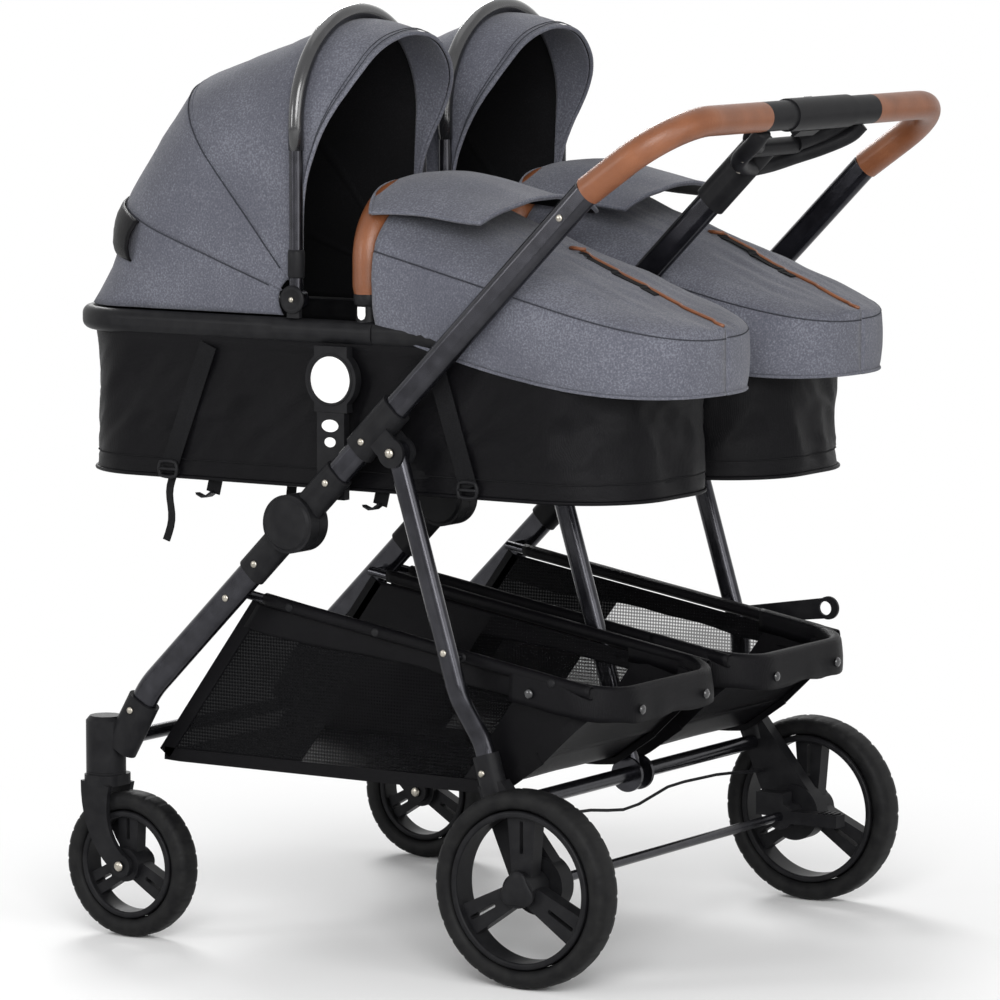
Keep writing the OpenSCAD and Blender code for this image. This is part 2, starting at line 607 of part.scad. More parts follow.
// Side brackets on the adaptor posts, bumper sockets and canopy hinge posts.
bumper_y = 1;
bumper_half = 124;
bumper_r = 18;
socket_h = 23;
disc_z = 712;
disc_r = 37;
bow_pin_r = 5;
post_in = 138;
module side_bracket(x0, x1) {
    w = abs(x1 - x0);
    translate([min(x0, x1), post_y - 24, post_top + gap]) cube([w, 48, rim_low - gap - post_top - gap]);
    across((x0 + x1) / 2, post_y, disc_z, disc_r, w);
}
module cot_fittings(s) color(black) {
    side_bracket(s * (rail_x - arm_half - gap), s * (cot_x + tub_half_w + gap));
    side_bracket(s * (arm_half + gap), s * (cot_x - tub_half_w - gap));
    for (e = sides) {
        translate([s * cot_x + e * bumper_half, bumper_y, rim_top - 4]) difference() {
            cylinder(r1 = 17, r2 = 14, h = socket_h + 4);
            translate([-e * (bumper_half - rim_half), -cot_len / 2, 0]) rotate([-90, 0, 0])
                linear_extrude(cot_len) translate([0, rim_h / 2 - 4]) flat_oval(sleeve_w + 2 * gap, rim_h + 2 * gap);
            translate([-40, -40, -40]) cube([80, 80, 40]);
        }
        translate([s * cot_x + e * (post_in + 3), canopy_y, 0]) {
            translate([-3, -9, rim_top + gap]) cube([6, 18, canopy_z - rim_top - gap]);
            across(0, 0, canopy_z, 13, 6);
        }
        across(s * cot_x + e * (post_in - 4), canopy_y, canopy_z, bow_pin_r, 12);
    }
}
module bumper_bar(s) color(leather)
    translate([s * cot_x - bumper_half, bumper_y, rim_top + socket_h + gap])
        run([[50], [75, 90, 0], [2 * (bumper_half - 75)], [75, 90, 0], [50]]) circle(bumper_r);

// Canopy: a bow, and three gores that slide under each other as the bow goes back.

gore_t = 3;
gore_step = 3.5;
gore_inner = 34;
bow_start = 10;
module canopy_bow(s) color(metal) difference() {
    union() {
        translate([s * cot_x - bow_half_w, canopy_y, canopy_z + bow_start])
            run([[bow_side - bow_start], [bow_half_w, 180, 0], [bow_side - bow_start]]) circle(bow_r);
        for (e = sides) across(s * cot_x + e * (post_in - gap - 5), canopy_y, canopy_z, 13, 10);
    }
    for (e = sides) {
        across(s * cot_x + e * (post_in + 14.7), canopy_y, canopy_z, 14, 30);
        across(s * cot_x + e * post_in, canopy_y, canopy_z, bow_pin_r + running, 40);
    }
}
module gore_area(half_w) intersection() {
    union() {
        translate([0, -half_w]) square([bow_side, 2 * half_w]);
        translate([bow_side, 0]) circle(half_w);
    }
    translate([gore_inner, -half_w]) square([bow_side + half_w, 2 * half_w]);
}
module gore(s, half_w, from, to) color(grey) translate([s * cot_x, canopy_y, canopy_z])
    rotate([from, 0, 0]) rotate([90, 0, 90]) rotate_extrude(angle = to - from) difference() {
        gore_area(half_w);
        gore_area(half_w - gore_t);
    }
front_gore_w = bow_half_w - bow_r - gap;
visor_angle = 105;
module canopy_front(s) gore(s, front_gore_w, 49, visor_angle);
module canopy_middle(s) gore(s, front_gore_w + gore_step, 20, 51);
module canopy_rear(s) gore(s, front_gore_w + 2 * gore_step, -3, 22);

// Foot apron: a crowned cover that slopes down to the foot end, with a skirt outside the rim.

apron_front = bumper_y - bumper_r - 2;
apron_len = cot_len - cot_front + apron_front + apron_over;
apron_low = 715;
apron_t = 5;
apron_rows = 14;
apron_points = 16;
apron_round = 170;
apron_top_front = 941;
apron_seam_front = 868;
apron_seam_back = 772;
function apron_w(d) = let (t = max(0, 1 - (d + 4) / apron_round)) (cot_half_w + 6) * pow(1 - pow(t, 2.6), 1 / 2.6);
// One cross-section: straight side bands up to the seam, and a crowned top panel between them.
function apron_section(k, inset) = let (
    u = 1 - pow(1 - k / apron_rows, 2), y = apron_front + (inset > 0 ? 1 : 0) - u * (apron_len - inset),
    w = apron_w((1 - u) * (apron_len - inset)) - inset,
    seam = apron_seam_front + u * (apron_seam_back - apron_seam_front) - inset,
    crown = (apron_top_front - apron_seam_front) * (1 - u) + 10 * u)
    concat([[-w, y, apron_low]],
        [for (i = [0:apron_points]) let (a = 180 - 180 * i / apron_points)
            [w * sign(cos(a)) * pow(abs(cos(a)), 0.7), y, seam + crown * pow(sin(a), 0.8)]],
        [[w, y, apron_low]]);
module apron_solid(inset) {
    n = apron_points + 3;
    rows = [for (k = [0:apron_rows]) each apron_section(k, inset)];
    walls = [for (k = [0:apron_rows - 1], i = [0:n - 1]) let (
        j = (i + 1) % n, p = k * n + i, q = k * n + j)
        each [[p, q, q + n], [p, q + n, p + n]]];
    last = apron_rows * n;
    polyhedron(rows, concat(walls, [for (i = [1:n - 2]) [0, i + 1, i]],
        [for (i = [1:n - 2]) [last, last + i, last + i + 1]]));
}
module cot_apron(s) color(grey) translate([s * cot_x, 0, 0]) difference() {
    apron_solid(0);
    apron_solid(apron_t);
    translate([-s * cot_x, 0, apron_low - 10]) linear_extrude(rim_top + 1 - apron_low + 10)
        cot_shape(s, -3.5, 0);
}

module cot_rim_left() cot_rim(-1);
module cot_rim_right() cot_rim(1);
module cot_tub_left() cot_tub(-1);
module cot_tub_right() cot_tub(1);
module cot_mattress_left() cot_mattress(-1);
module cot_mattress_right() cot_mattress(1);
module cot_apron_left() cot_apron(-1);
module cot_apron_right() cot_apron(1);
module cot_fittings_left() cot_fittings(-1);
module cot_fittings_right() cot_fittings(1);
module bumper_bar_left() bumper_bar(-1);
module bumper_bar_right() bumper_bar(1);
module canopy_bow_left() canopy_bow(-1);
module canopy_bow_right() canopy_bow(1);
module canopy_front_left() canopy_front(-1);
module canopy_front_right() canopy_front(1);
module canopy_middle_left() canopy_middle(-1);
module canopy_middle_right() canopy_middle(1);
module canopy_rear_left() canopy_rear(-1);
module canopy_rear_right() canopy_rear(1);
module front_leg_left() front_leg(-rail_x, 0);
module front_leg_middle() front_leg(0, crossbar_down - crossbar_r - gap);
module front_leg_right() front_leg(rail_x, 0);
module upper_rail_left() upper_rail(-1);
module upper_rail_middle() upper_rail(0);
module upper_rail_right() upper_rail(1);

front_leg_left();
front_leg_middle();
front_leg_right();
front_crossbar();
caster_housings();
fold_hinge_lower();
upper_rail_left();
upper_rail_middle();
upper_rail_right();
fold_hinge_upper();
leg_brackets();
handlebar();
grips();
handle_module();
fold_trigger();
safety_slider();
adaptor_posts();
rear_leg_left();
rear_leg_middle();
rear_leg_right();
rear_crossbar();
rear_axle();
hub_housings();
brake_pedal();
brake_cable();
fold_lever();
basket_frames();
basket_left();
basket_right();
fork_left();
fork_right();
front_tyre_left();
front_tyre_right();
front_rim_left();
front_rim_right();
rear_tyre_left();
rear_tyre_right();
rear_rim_left();
rear_rim_right();
cot_rim_left();
cot_tub_left();
cot_mattress_left();
cot_apron_left();
cot_fittings_left();
bumper_bar_left();
canopy_bow_left();
canopy_front_left();
canopy_middle_left();
canopy_rear_left();
cot_rim_right();
cot_tub_right();
cot_mattress_right();
cot_apron_right();
cot_fittings_right();
bumper_bar_right();
canopy_bow_right();
canopy_front_right();
canopy_middle_right();
canopy_rear_right();
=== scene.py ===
# Twin pram: cloth, leather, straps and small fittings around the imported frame. Metres.
import json
import math
from functools import partial

import bpy
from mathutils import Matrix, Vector, noise


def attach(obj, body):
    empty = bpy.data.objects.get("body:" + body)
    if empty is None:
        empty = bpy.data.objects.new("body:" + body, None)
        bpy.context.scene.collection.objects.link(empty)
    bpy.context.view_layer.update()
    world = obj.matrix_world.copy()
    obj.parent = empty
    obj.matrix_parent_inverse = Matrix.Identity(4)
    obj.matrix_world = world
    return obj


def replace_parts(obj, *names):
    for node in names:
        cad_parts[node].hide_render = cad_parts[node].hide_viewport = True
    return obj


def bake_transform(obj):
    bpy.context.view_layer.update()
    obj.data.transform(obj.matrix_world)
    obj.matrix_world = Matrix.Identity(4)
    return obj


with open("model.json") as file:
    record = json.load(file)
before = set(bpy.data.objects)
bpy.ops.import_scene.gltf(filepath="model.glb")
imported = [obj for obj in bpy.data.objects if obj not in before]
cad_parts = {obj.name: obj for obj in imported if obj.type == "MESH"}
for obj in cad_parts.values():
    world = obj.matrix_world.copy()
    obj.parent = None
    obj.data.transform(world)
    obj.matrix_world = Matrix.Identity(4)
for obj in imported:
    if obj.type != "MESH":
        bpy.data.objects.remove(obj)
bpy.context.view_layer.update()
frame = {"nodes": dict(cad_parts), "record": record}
SIDES = {"left": -1, "right": 1}
ENDS = (-1, 1)
COT_X = 0.165
RIM_TOP, RIM_LOW = 0.783, 0.753
COT_FRONT, COT_BACK = 0.4747, -0.3813
COT_MID = (COT_FRONT + COT_BACK) / 2
HINGE = Vector((0, 0.100, 0.806))


def lerp(a, b, t):
    return a + (b - a) * t


def smooth(t):
    t = min(1.0, max(0.0, t))
    return t * t * (3 - 2 * t)


def fold(x, y, z, scale):
    return noise.noise(Vector((x, y, z)) * scale)


def circle(count):
    """Cosines and sines of evenly spaced angles."""
    return [(math.cos(a), math.sin(a)) for a in (2 * math.pi * k / count for k in range(count))]


# Materials. Every one is made of nodes in object space, so its grain keeps a real size.

def shader(name, color, rough, **sockets):
    mat = bpy.data.materials.new(name)
    mat.use_nodes = True
    bsdf = mat.node_tree.nodes["Principled BSDF"]
    bsdf.inputs["Base Color"].default_value = (*color, 1)
    bsdf.inputs["Roughness"].default_value = rough
    for key, value in sockets.items():
        bsdf.inputs[key.replace("_", " ")].default_value = value
    return mat, mat.node_tree, bsdf


def node(tree, kind, **values):
    made = tree.nodes.new(kind)
    for key, value in values.items():
        if key in made.inputs:
            made.inputs[key].default_value = value
        else:
            setattr(made, key, value)
    return made


def coords(tree):
    return node(tree, "ShaderNodeTexCoord").outputs["Object"]


def grain(tree, vector, scale, detail):
    made = node(tree, "ShaderNodeTexNoise", Scale=scale, Detail=detail)
    tree.links.new(vector, made.inputs["Vector"])
    return made.outputs["Fac"]


def ramp(tree, value, stops):
    made = node(tree, "ShaderNodeValToRGB")
    band = made.color_ramp
    while len(band.elements) < len(stops):
        band.elements.new(0.5)
    for element, (place, color) in zip(band.elements, stops):
        element.position = place
        element.color = (*color, 1)
    tree.links.new(value, made.inputs["Fac"])
    return made.outputs["Color"]


def spread(tree, value, low, high, start=0.0, stop=1.0, **values):
    """A value moved from one range to another."""
    made = node(tree, "ShaderNodeMapRange", **values)
    for socket, number in (("From Min", start), ("From Max", stop), ("To Min", low), ("To Max", high)):
        made.inputs[socket].default_value = number
    tree.links.new(value, made.inputs["Value"])
    return made.outputs["Result"]


def bump(tree, bsdf, height, strength, distance):
    made = node(tree, "ShaderNodeBump", Strength=strength, Distance=distance)
    tree.links.new(height, made.inputs["Height"])
    tree.links.new(made.outputs["Normal"], bsdf.inputs["Normal"])


def add(tree, a, b, weight=1.0):
    made = node(tree, "ShaderNodeMath", operation="MULTIPLY_ADD")
    made.inputs[1].default_value = weight
    tree.links.new(b, made.inputs[0])
    tree.links.new(a, made.inputs[2])
    return made.outputs[0]


def threads(tree, vector, axes, third=1.0, **values):
    """Waves along three axes, added up; third is the last one's weight."""
    waves = []
    for axis in axes:
        made = node(tree, "ShaderNodeTexWave", bands_direction=axis, **values)
        tree.links.new(vector, made.inputs["Vector"])
        waves.append(made.outputs["Fac"])
    return add(tree, add(tree, waves[0], waves[1]), waves[2], third)


def cloth(name, dark, light, sheen, speckle=420, rough=0.85, gleam=0.14):
    mat, tree, bsdf = shader(name, dark, rough, Sheen_Weight=sheen, Sheen_Roughness=0.5,
                             Specular_IOR_Level=gleam)
    vector = coords(tree)
    fleck = grain(tree, vector, speckle, 2)
    cloud = grain(tree, vector, 9, 4)
    middle = tuple(lerp(a, b, 0.35) for a, b in zip(dark, light))
    color = ramp(tree, add(tree, fleck, cloud, 0.55), [(0.52, dark), (0.80, middle), (0.98, light)])
    tree.links.new(color, bsdf.inputs["Base Color"])
    weave = threads(tree, vector, "XZY", Scale=260, Distortion=1.5, **{"Detail Scale": 3})
    bump(tree, bsdf, add(tree, weave, grain(tree, vector, 35, 5), 2.0), 0.25, 0.0006)
    return mat


def leather(name, dark, middle, light):
    mat, tree, bsdf = shader(name, middle, 0.40, Coat_Weight=0.12, Coat_Roughness=0.3,
                             Specular_IOR_Level=0.35)
    vector = coords(tree)
    cells = node(tree, "ShaderNodeTexVoronoi", Scale=520)
    tree.links.new(vector, cells.inputs["Vector"])
    cloud = grain(tree, vector, 22, 5)
    color = ramp(tree, cloud, [(0.3, dark), (0.55, middle), (0.75, light)])
    tree.links.new(color, bsdf.inputs["Base Color"])
    bump(tree, bsdf, add(tree, cells.outputs["Distance"], cloud, 1.5), 0.3, 0.0008)
    return mat


def solid(name, dark, light, rough, metallic=0.0, coat=0.0, scale=60, relief=0.08, gleam=0.5):
    mat, tree, bsdf = shader(name, dark, rough, Metallic=metallic, Coat_Weight=coat, Coat_Roughness=0.15,
                             Specular_IOR_Level=gleam)
    vector = coords(tree)
    cloud = grain(tree, vector, scale, 4)
    color = ramp(tree, cloud, [(0.35, dark), (0.7, light)])
    tree.links.new(color, bsdf.inputs["Base Color"])
    tree.links.new(spread(tree, cloud, rough - 0.07, rough + 0.09), bsdf.inputs["Roughness"])
    bump(tree, bsdf, grain(tree, vector, 1400, 2), relief, 0.0004)
    return mat


def netting(name, cover):
    """Fine net that hides a share of what is behind it."""
    mat, tree, bsdf = shader(name, (0.003, 0.003, 0.0035), 0.7, Specular_IOR_Level=0.06)
    mixed = threads(tree, coords(tree), "YZX", 0.3, Scale=75, Distortion=0.4)
    holes = spread(tree, mixed, cover - 0.2, min(1.0, cover + 0.2), 0.3, 1.3)
    tree.links.new(holes, bsdf.inputs["Alpha"])
    bump(tree, bsdf, mixed, 0.4, 0.0008)
    return mat


GREY = cloth("canopy_cloth", (0.066, 0.068, 0.086), (0.140, 0.144, 0.170), 0.12)
BLACK = cloth("tub_cloth", (0.0018, 0.0017, 0.0022), (0.0050, 0.0048, 0.0058), 0.0, speckle=600,
              rough=0.40, gleam=0.075)
LINING = cloth("lining", (0.003, 0.003, 0.0035), (0.007, 0.007, 0.008), 0.0, speckle=500)
# Darker grey for the visor's stitches, and for thin lines along the canopy and apron seams, where it is
# painted shade in and beside the seams.
STITCH_AND_SEAM_SHADE = cloth("seam", (0.026, 0.027, 0.034), (0.045, 0.047, 0.056), 0.0)
LEATHER = leather("tan_leather", (0.135, 0.044, 0.016), (0.175, 0.060, 0.023), (0.21, 0.076, 0.031))
THREAD = solid("thread", (0.20, 0.07, 0.025), (0.32, 0.13, 0.05), 0.7, scale=300)
METAL = solid("gunmetal", (0.014, 0.014, 0.018), (0.026, 0.026, 0.032), 0.22, metallic=0.8, coat=0.30)
PLASTIC = solid("black_plastic", (0.007, 0.007, 0.008), (0.012, 0.012, 0.013), 0.42, relief=0.15, gleam=0.09)
GLOSS = solid("gloss_black", (0.010, 0.010, 0.011), (0.016, 0.016, 0.018), 0.2, coat=0.6)
RUBBER = solid("tyre_rubber", (0.006, 0.006, 0.0065), (0.012, 0.012, 0.012), 0.55, relief=0.3, gleam=0.10)
STEEL = solid("rivet_steel", (0.30, 0.28, 0.24), (0.44, 0.41, 0.36), 0.28, metallic=1.0, scale=200)
WHITE = solid("white_plate", (0.80, 0.80, 0.79), (0.86, 0.86, 0.85), 0.4, scale=40)
WEBBING = cloth("webbing", (0.003, 0.003, 0.0035), (0.009, 0.009, 0.010), 0.0, speckle=800, rough=0.6,
                gleam=0.08)
NET = netting("basket_net", 0.46)
PALE_NET = netting("pale_net", 0.22)
FRONT_NET = netting("front_net", 1.06)
SLOT_LOOKS = {"dark_metal": (METAL, STEEL), "black_plastic": (PLASTIC, GLOSS, WHITE),
              "leather": (LEATHER, THREAD), "grey_fabric": (GREY, STITCH_AND_SEAM_SHADE),
              "black_fabric": (BLACK, LINING, WEBBING, NET, PALE_NET), "tyre": (RUBBER,)}
SLOT_BY_LOOK = {look.name: slot for slot, looks in SLOT_LOOKS.items() for look in looks}
SLOT_OF = {part["node"]: part["material_slot"] for part in frame["record"]["subparts"]}
for name, obj in frame["nodes"].items():
    mat = METAL if name.startswith("canopy_bow") else SLOT_LOOKS[SLOT_OF[name]][0]
    obj.data.materials.clear()
    obj.data.materials.append(mat)


# Pieces.

def ring_faces(rings, count, closed=False):
    """Faces between rings of points, and from the last ring to the first one where closed."""
    faces = []
    for j in range(rings if closed else rings - 1):
        n = (j + 1) % rings
        for i in range(count):
            k = (i + 1) % count
            faces.append((j * count + i, j * count + k, n * count + k, n * count + i))
    return faces


def end_faces(rings, count):
    """The two faces that close a stack of rings."""
    last = (rings - 1) * count
    return [tuple(reversed(range(count))), tuple(range(last, last + count))]


def piece(name, verts, faces, mats, body=None, slot=None, flat=False):
    """A mesh on a body. Its slot, given or taken from its first look, is worked out but not used."""
    mesh = bpy.data.meshes.new(name)
    mesh.from_pydata([tuple(v) for v in verts], [], faces)
    for mat in mats:
        mesh.materials.append(mat)
    if not flat:
        mesh.polygons.foreach_set("use_smooth", [True] * len(mesh.polygons))
    mesh.update()
    obj = bpy.data.objects.new(name, mesh)
    bpy.context.scene.collection.objects.link(obj)
    slot = slot or SLOT_BY_LOOK.get(mats[0].name)
    if body:
        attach(obj, body)
    return obj


def thicken(obj, thick, inner=0):
    """Gives a sheet its thickness on the inside, with a look that many places after the outer one's."""
    solidify = obj.modifiers.new("thickness", "SOLIDIFY")
    solidify.thickness = thick
    solidify.offset = -1
    solidify.material_offset = inner


def grid(name, place, nu, nv, mats, body, thick, inner=0):
    """A sheet of nu by nv faces, with its points at place(u, v) for shares u and v."""
    verts = [place(i / nu, j / nv) for j in range(nv + 1) for i in range(nu + 1)]
    wide = nu + 1
    faces = [(j * wide + i, (j + 1) * wide + i, (j + 1) * wide + i + 1, j * wide + i + 1)
             for j in range(nv) for i in range(nu)]
    obj = piece(name, verts, faces, mats)
    thicken(obj, thick, inner)
    bpy.context.view_layer.objects.active = obj
    obj.select_set(True)
    bpy.ops.object.modifier_apply(modifier="thickness")
    obj.select_set(False)
    if body:
        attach(obj, body)
    return obj


def sweep(name, path, radius, mat, body, sides, closed=False):
    """A round tube along points."""
    count = len(path)
    verts = []
    side = None
    for i, p in enumerate(path):
        before = path[i - 1] if i or closed else p
        after = path[(i + 1) % count] if i < count - 1 or closed else p
        run = (after - before).normalized()
        if side is None:
            side = run.orthogonal().normalized()
        side = (side - run * side.dot(run)).normalized()
        rise = run.cross(side)
        verts += [p + (side * c + rise * s) * radius for c, s in circle(sides)]
    faces = ring_faces(count, sides, closed)
    if not closed:
        faces += end_faces(count, sides)
    return piece(name, verts, faces, [mat], body)


def strap(name, path, width, thick, facing, mat, body, slot=None):
    """A flat strap along points, with its thickness on the side that it faces."""
    facing = Vector(facing).normalized()
    verts = []
    for i, p in enumerate(path):
        run = (path[min(i + 1, len(path) - 1)] - path[max(i - 1, 0)]).normalized()
        side = run.cross(facing).normalized() * (width / 2)
        lift = facing * thick
        verts += [p - side, p + side, p + side + lift, p - side + lift]
    faces = ring_faces(len(path), 4) + end_faces(len(path), 4)
    return piece(name, verts, faces, [mat], body, slot, flat=True)


def turned(name, center, axis, profile, mat, body, steps=28, slot=None):
    """A turned form: profile is (radius, height along the axis) from its base to its tip."""
    least = 1e-5
    center, axis = Vector(center), Vector(axis).normalized()
    side = axis.orthogonal().normalized()
    rise = axis.cross(side)
    verts = [center + axis * h + (side * c + rise * s) * max(r, least)
             for r, h in profile for c, s in circle(steps)]
    faces = ring_faces(len(profile), steps) + end_faces(len(profile), steps)
    return piece(name, verts, faces, [mat], body, slot)


DOME = [(1.0, 0.0), (1.0, 0.15), (0.92, 0.34), (0.7, 0.5), (0.35, 0.58), (0.0, 0.6)]


def rivet(name, center, axis, radius, body, mat=STEEL):
    turned(name, center, axis, [(r * radius, h * radius) for r, h in DOME], mat, body, 16, "dark_metal")


def white_plate(name, ring, way, body):
    """A thin bare plate on a ring of points, facing along X."""
    thick = 0.0012
    verts = ring + [p + Vector((way * thick, 0, 0)) for p in ring]
    faces = ring_faces(2, len(ring)) + end_faces(2, len(ring))
    piece(name, verts, faces, [WHITE], body, flat=True)


# Camera at the photograph's angle, with AIM at AIM_PIXEL of the picture, lights and floor.

AIM = Vector((0, -0.11, 0.60))
AIM_PIXEL = (573.3, 455.1)
PICTURE = 1000
PIXELS_PER_METRE = 801.5
AZIMUTH = math.radians(-58)
ELEVATION = math.radians(6.05)
DISTANCE = 7.0
SENSOR = 36
LAMP_AIM = Vector((0, 0, 0.55))
LAMPS = (("key", (-3.6, -2.3, 2.3), 150, 2.2), ("fill", (-1.5, -4.2, 1.4), 60, 2.5),
         ("side", (-4.2, 2.4, 1.5), 42, 1.2), ("rim", (2.6, 2.6, 3.0), 90, 1.6),
         ("top", (0.2, 0.4, 4.2), 16, 2.5))
AMBIENT = 0.42
FLOOR_HALF = 8
FLOOR_FADE = (0.55, 1.25)
WHITE_LIGHT = (1, 1, 1, 1)


def stand(name, data, place, target):
    """Puts a camera or a lamp at a place, facing a target."""
    obj = bpy.data.objects.new(name, data)
    obj.location = place
    obj.rotation_euler = (target - Vector(place)).to_track_quat("-Z", "Y").to_euler()
    bpy.context.scene.collection.objects.link(obj)
    return obj


def photo_camera():
    flat = math.cos(ELEVATION)
    back = Vector((math.sin(AZIMUTH) * flat, -math.cos(AZIMUTH) * flat, math.sin(ELEVATION)))
    right = Vector((math.cos(AZIMUTH), math.sin(AZIMUTH), 0))
    rise = back.cross(right)
    across = (AIM_PIXEL[0] - PICTURE / 2) / PIXELS_PER_METRE
    down = (PICTURE / 2 - AIM_PIXEL[1]) / PIXELS_PER_METRE
    data = bpy.data.cameras.new("camera")
    data.sensor_width = SENSOR
    data.lens = PIXELS_PER_METRE * DISTANCE * SENSOR / PICTURE
    return stand("camera", data, AIM + back * DISTANCE, AIM - right * across - rise * down)


def larger(tree, a, b):
    made = node(tree, "ShaderNodeMath", operation="MAXIMUM")
    tree.links.new(a, made.inputs[0])
    tree.links.new(b, made.inputs[1])
    return made.outputs[0]


def mix_shaders(tree, share, first, second, target):
    """Sends a mix of two shaders to the surface of an output node."""
    made = node(tree, "ShaderNodeMixShader")
    for source, socket in zip((share, first, second), made.inputs):
        tree.links.new(source, socket)
    tree.links.new(made.outputs[0], tree.nodes[target].inputs["Surface"])


def studio_world():
    """A soft ambient light that the camera, glass and gloss see as white."""
    world = bpy.data.worlds.new("studio")
    bpy.context.scene.world = world
    world.use_nodes = True
    tree = world.node_tree
    ambient = tree.nodes["Background"]
    ambient.inputs["Strength"].default_value = AMBIENT
    ambient.inputs["Color"].default_value = WHITE_LIGHT
    backdrop = node(tree, "ShaderNodeBackground", Strength=1.0, Color=WHITE_LIGHT)
    rays = node(tree, "ShaderNodeLightPath").outputs
    seen = larger(tree, rays["Is Camera Ray"], rays["Is Transmission Ray"])
    seen = larger(tree, seen, rays["Is Glossy Ray"])
    mix_shaders(tree, seen, ambient.outputs[0], backdrop.outputs[0], "World Output")


def studio_floor():
    """A floor that takes the shadow and fades to white away from the pram."""
    mat, tree, bsdf = shader("floor", (0.9, 0.9, 0.9), 0.8)
    far = node(tree, "ShaderNodeVectorMath", operation="LENGTH")
    tree.links.new(coords(tree), far.inputs[0])
    fade = spread(tree, far.outputs["Value"], 0.0, 1.0, *FLOOR_FADE, interpolation_type="SMOOTHSTEP")
    to_camera = node(tree, "ShaderNodeMath", operation="MULTIPLY")
    tree.links.new(fade, to_camera.inputs[0])
    tree.links.new(node(tree, "ShaderNodeLightPath").outputs["Is Camera Ray"], to_camera.inputs[1])
    glow = node(tree, "ShaderNodeEmission", Strength=1.0)
    mix_shaders(tree, to_camera.outputs[0], bsdf.outputs[0], glow.outputs[0], "Material Output")
    corners = [(x * FLOOR_HALF, y * FLOOR_HALF, 0) for x, y in ((-1, -1), (1, -1), (1, 1), (-1, 1))]
    piece("floor", corners, [(0, 1, 2, 3)], [mat])


bpy.context.scene.camera = photo_camera()
bpy.context.scene.view_settings.view_transform = "Standard"
for name, place, power, size in LAMPS:
    light = bpy.data.lights.new(name, "AREA")
    light.energy = power
    light.size = size
    stand(name, light, place, LAMP_AIM)
studio_world()
studio_floor()

# Canopies: one sheet over three hoops, taut between them, with a visor past the bow and a dark lining.
# A row is a whole number at a hoop: 0 at the hem, 3 at the bow and 4 at the visor's edge.

HOOPS = (20, 51, 90)
SIDE, SIDE_LOW = 0.211, 0.030
CANOPY_HALF = (0.1335, 0.1262)
HEM_DROP = 0.0205
HEM_ROWS = 0.8
HEM_Y = HINGE.y + SIDE
HEM_HALF, HEM_FRONT, HEM_CORNER = 0.131, 0.4607, 0.097
VISOR_ANGLE, VISOR_LEAN = 91, 13.5
BOW_HALF = 0.136
BOW_LEG, BOW_FOOT_RISE = 0.03, 0.026
BOW_FOOT = [(0.0095, 0), (0.0105, 0.002), (0.0105, 0.03), (0.0098, 0.034), (0.0088, 0.0345)]
HINGE_CAP = [(0.0165, 0), (0.0175, 0.0012), (0.017, 0.0032), (0.012, 0.0042), (0.0115, 0.0036), (0.0, 0.0036)]
CAP_X = 0.1438


def canopy_rows():
    """Rows of the sheet's points, closer together beside the seams and at the visor's edge."""
    rows = []
    for start, steps in enumerate((9, 11, 13, 12)):
        rows += [start + k / steps for k in range(steps)]
    return sorted(rows + [0.965, 1.035, 1.965, 2.035, 2.965, 3.94, 3.97]) + [4.0]


ROWS = canopy_rows()


def rim_reach(out):
    """Distance from the canopy's turning point to the middle of the cot's rim in a direction."""
    low, high = 0.10, 0.22
    for _ in range(24):
        mid = (low + high) / 2
        x, y = abs(out.x) * mid, HEM_Y + out.y * mid
        dx, dy = x - (HEM_HALF - HEM_CORNER), y - (HEM_FRONT - HEM_CORNER)
        if dx > 0 and dy > 0:
            inside = math.hypot(dx, dy) < HEM_CORNER
        else:
            inside = x < HEM_HALF and y < HEM_FRONT
        low, high = (mid, high) if inside else (low, mid)
    return low


def canopy_arch(u, half):
    """X and distance from the hinge's line at a share of a hoop: two straight sides and a half circle."""
    straight, bend = SIDE - SIDE_LOW, math.pi * half
    along = u * (2 * straight + bend)
    if along < straight:
        return -half, SIDE_LOW + along
    if along > straight + bend:
        return half, SIDE_LOW + 2 * straight + bend - along
    angle = (along - straight) / half
    return -half * math.cos(angle), SIDE + half * math.sin(angle)


def canopy_point(xc, u, row):
    half = lerp(*CANOPY_HALF, smooth(row / 3))
    x, r = canopy_arch(u, half)
    low = -math.degrees(math.asin(min(HEM_DROP / r, 0.85)))
    visor = VISOR_ANGLE + VISOR_LEAN * smooth((r - 0.10) / 0.2)
    marks = (low, *HOOPS, visor)
    span = min(int(row), 3)
    t = row - span
    angle = lerp(marks[span], marks[span + 1], t)
    if span < 3:
        mid = (marks[span] + marks[span + 1]) / 2
        width = (marks[span + 1] - marks[span]) / 2
        taut = math.cos(math.radians(width)) / math.cos(math.radians(angle - mid))
        reach = r / (SIDE + half)
        r *= lerp(1, taut, 0.96 * reach)
    else:
        r *= 1 - 0.012 * t * t
    if min(abs(row - seam) for seam in (1, 2)) < 0.02:
        r -= 0.002
        x *= 0.985
    ripple = fold(x * 1.4, angle * 0.012, r * 1.2, 9.0) + 0.5 * fold(x, angle * 0.03, r, 24.0)
    r += 0.0022 * ripple * smooth((r - 0.05) / 0.1)
    if abs(x) > half * 0.9:
        x *= 1 - 0.012 * abs(fold(r, angle * 0.01, xc, 12.0))
    if row > 3.9:
        x *= 1.006
    a = math.radians(angle)
    place = Vector((x, HINGE.y + r * math.cos(a), HINGE.z + r * math.sin(a)))
    if row < HEM_ROWS and place.y > HEM_Y:
        out = Vector((place.x, place.y - HEM_Y, 0))
        flare = max(0.0, rim_reach(out.normalized()) / half - 1)
        place += out * (flare * (1 - row / HEM_ROWS) ** 2)
    return Vector((xc, 0, 0)) + place


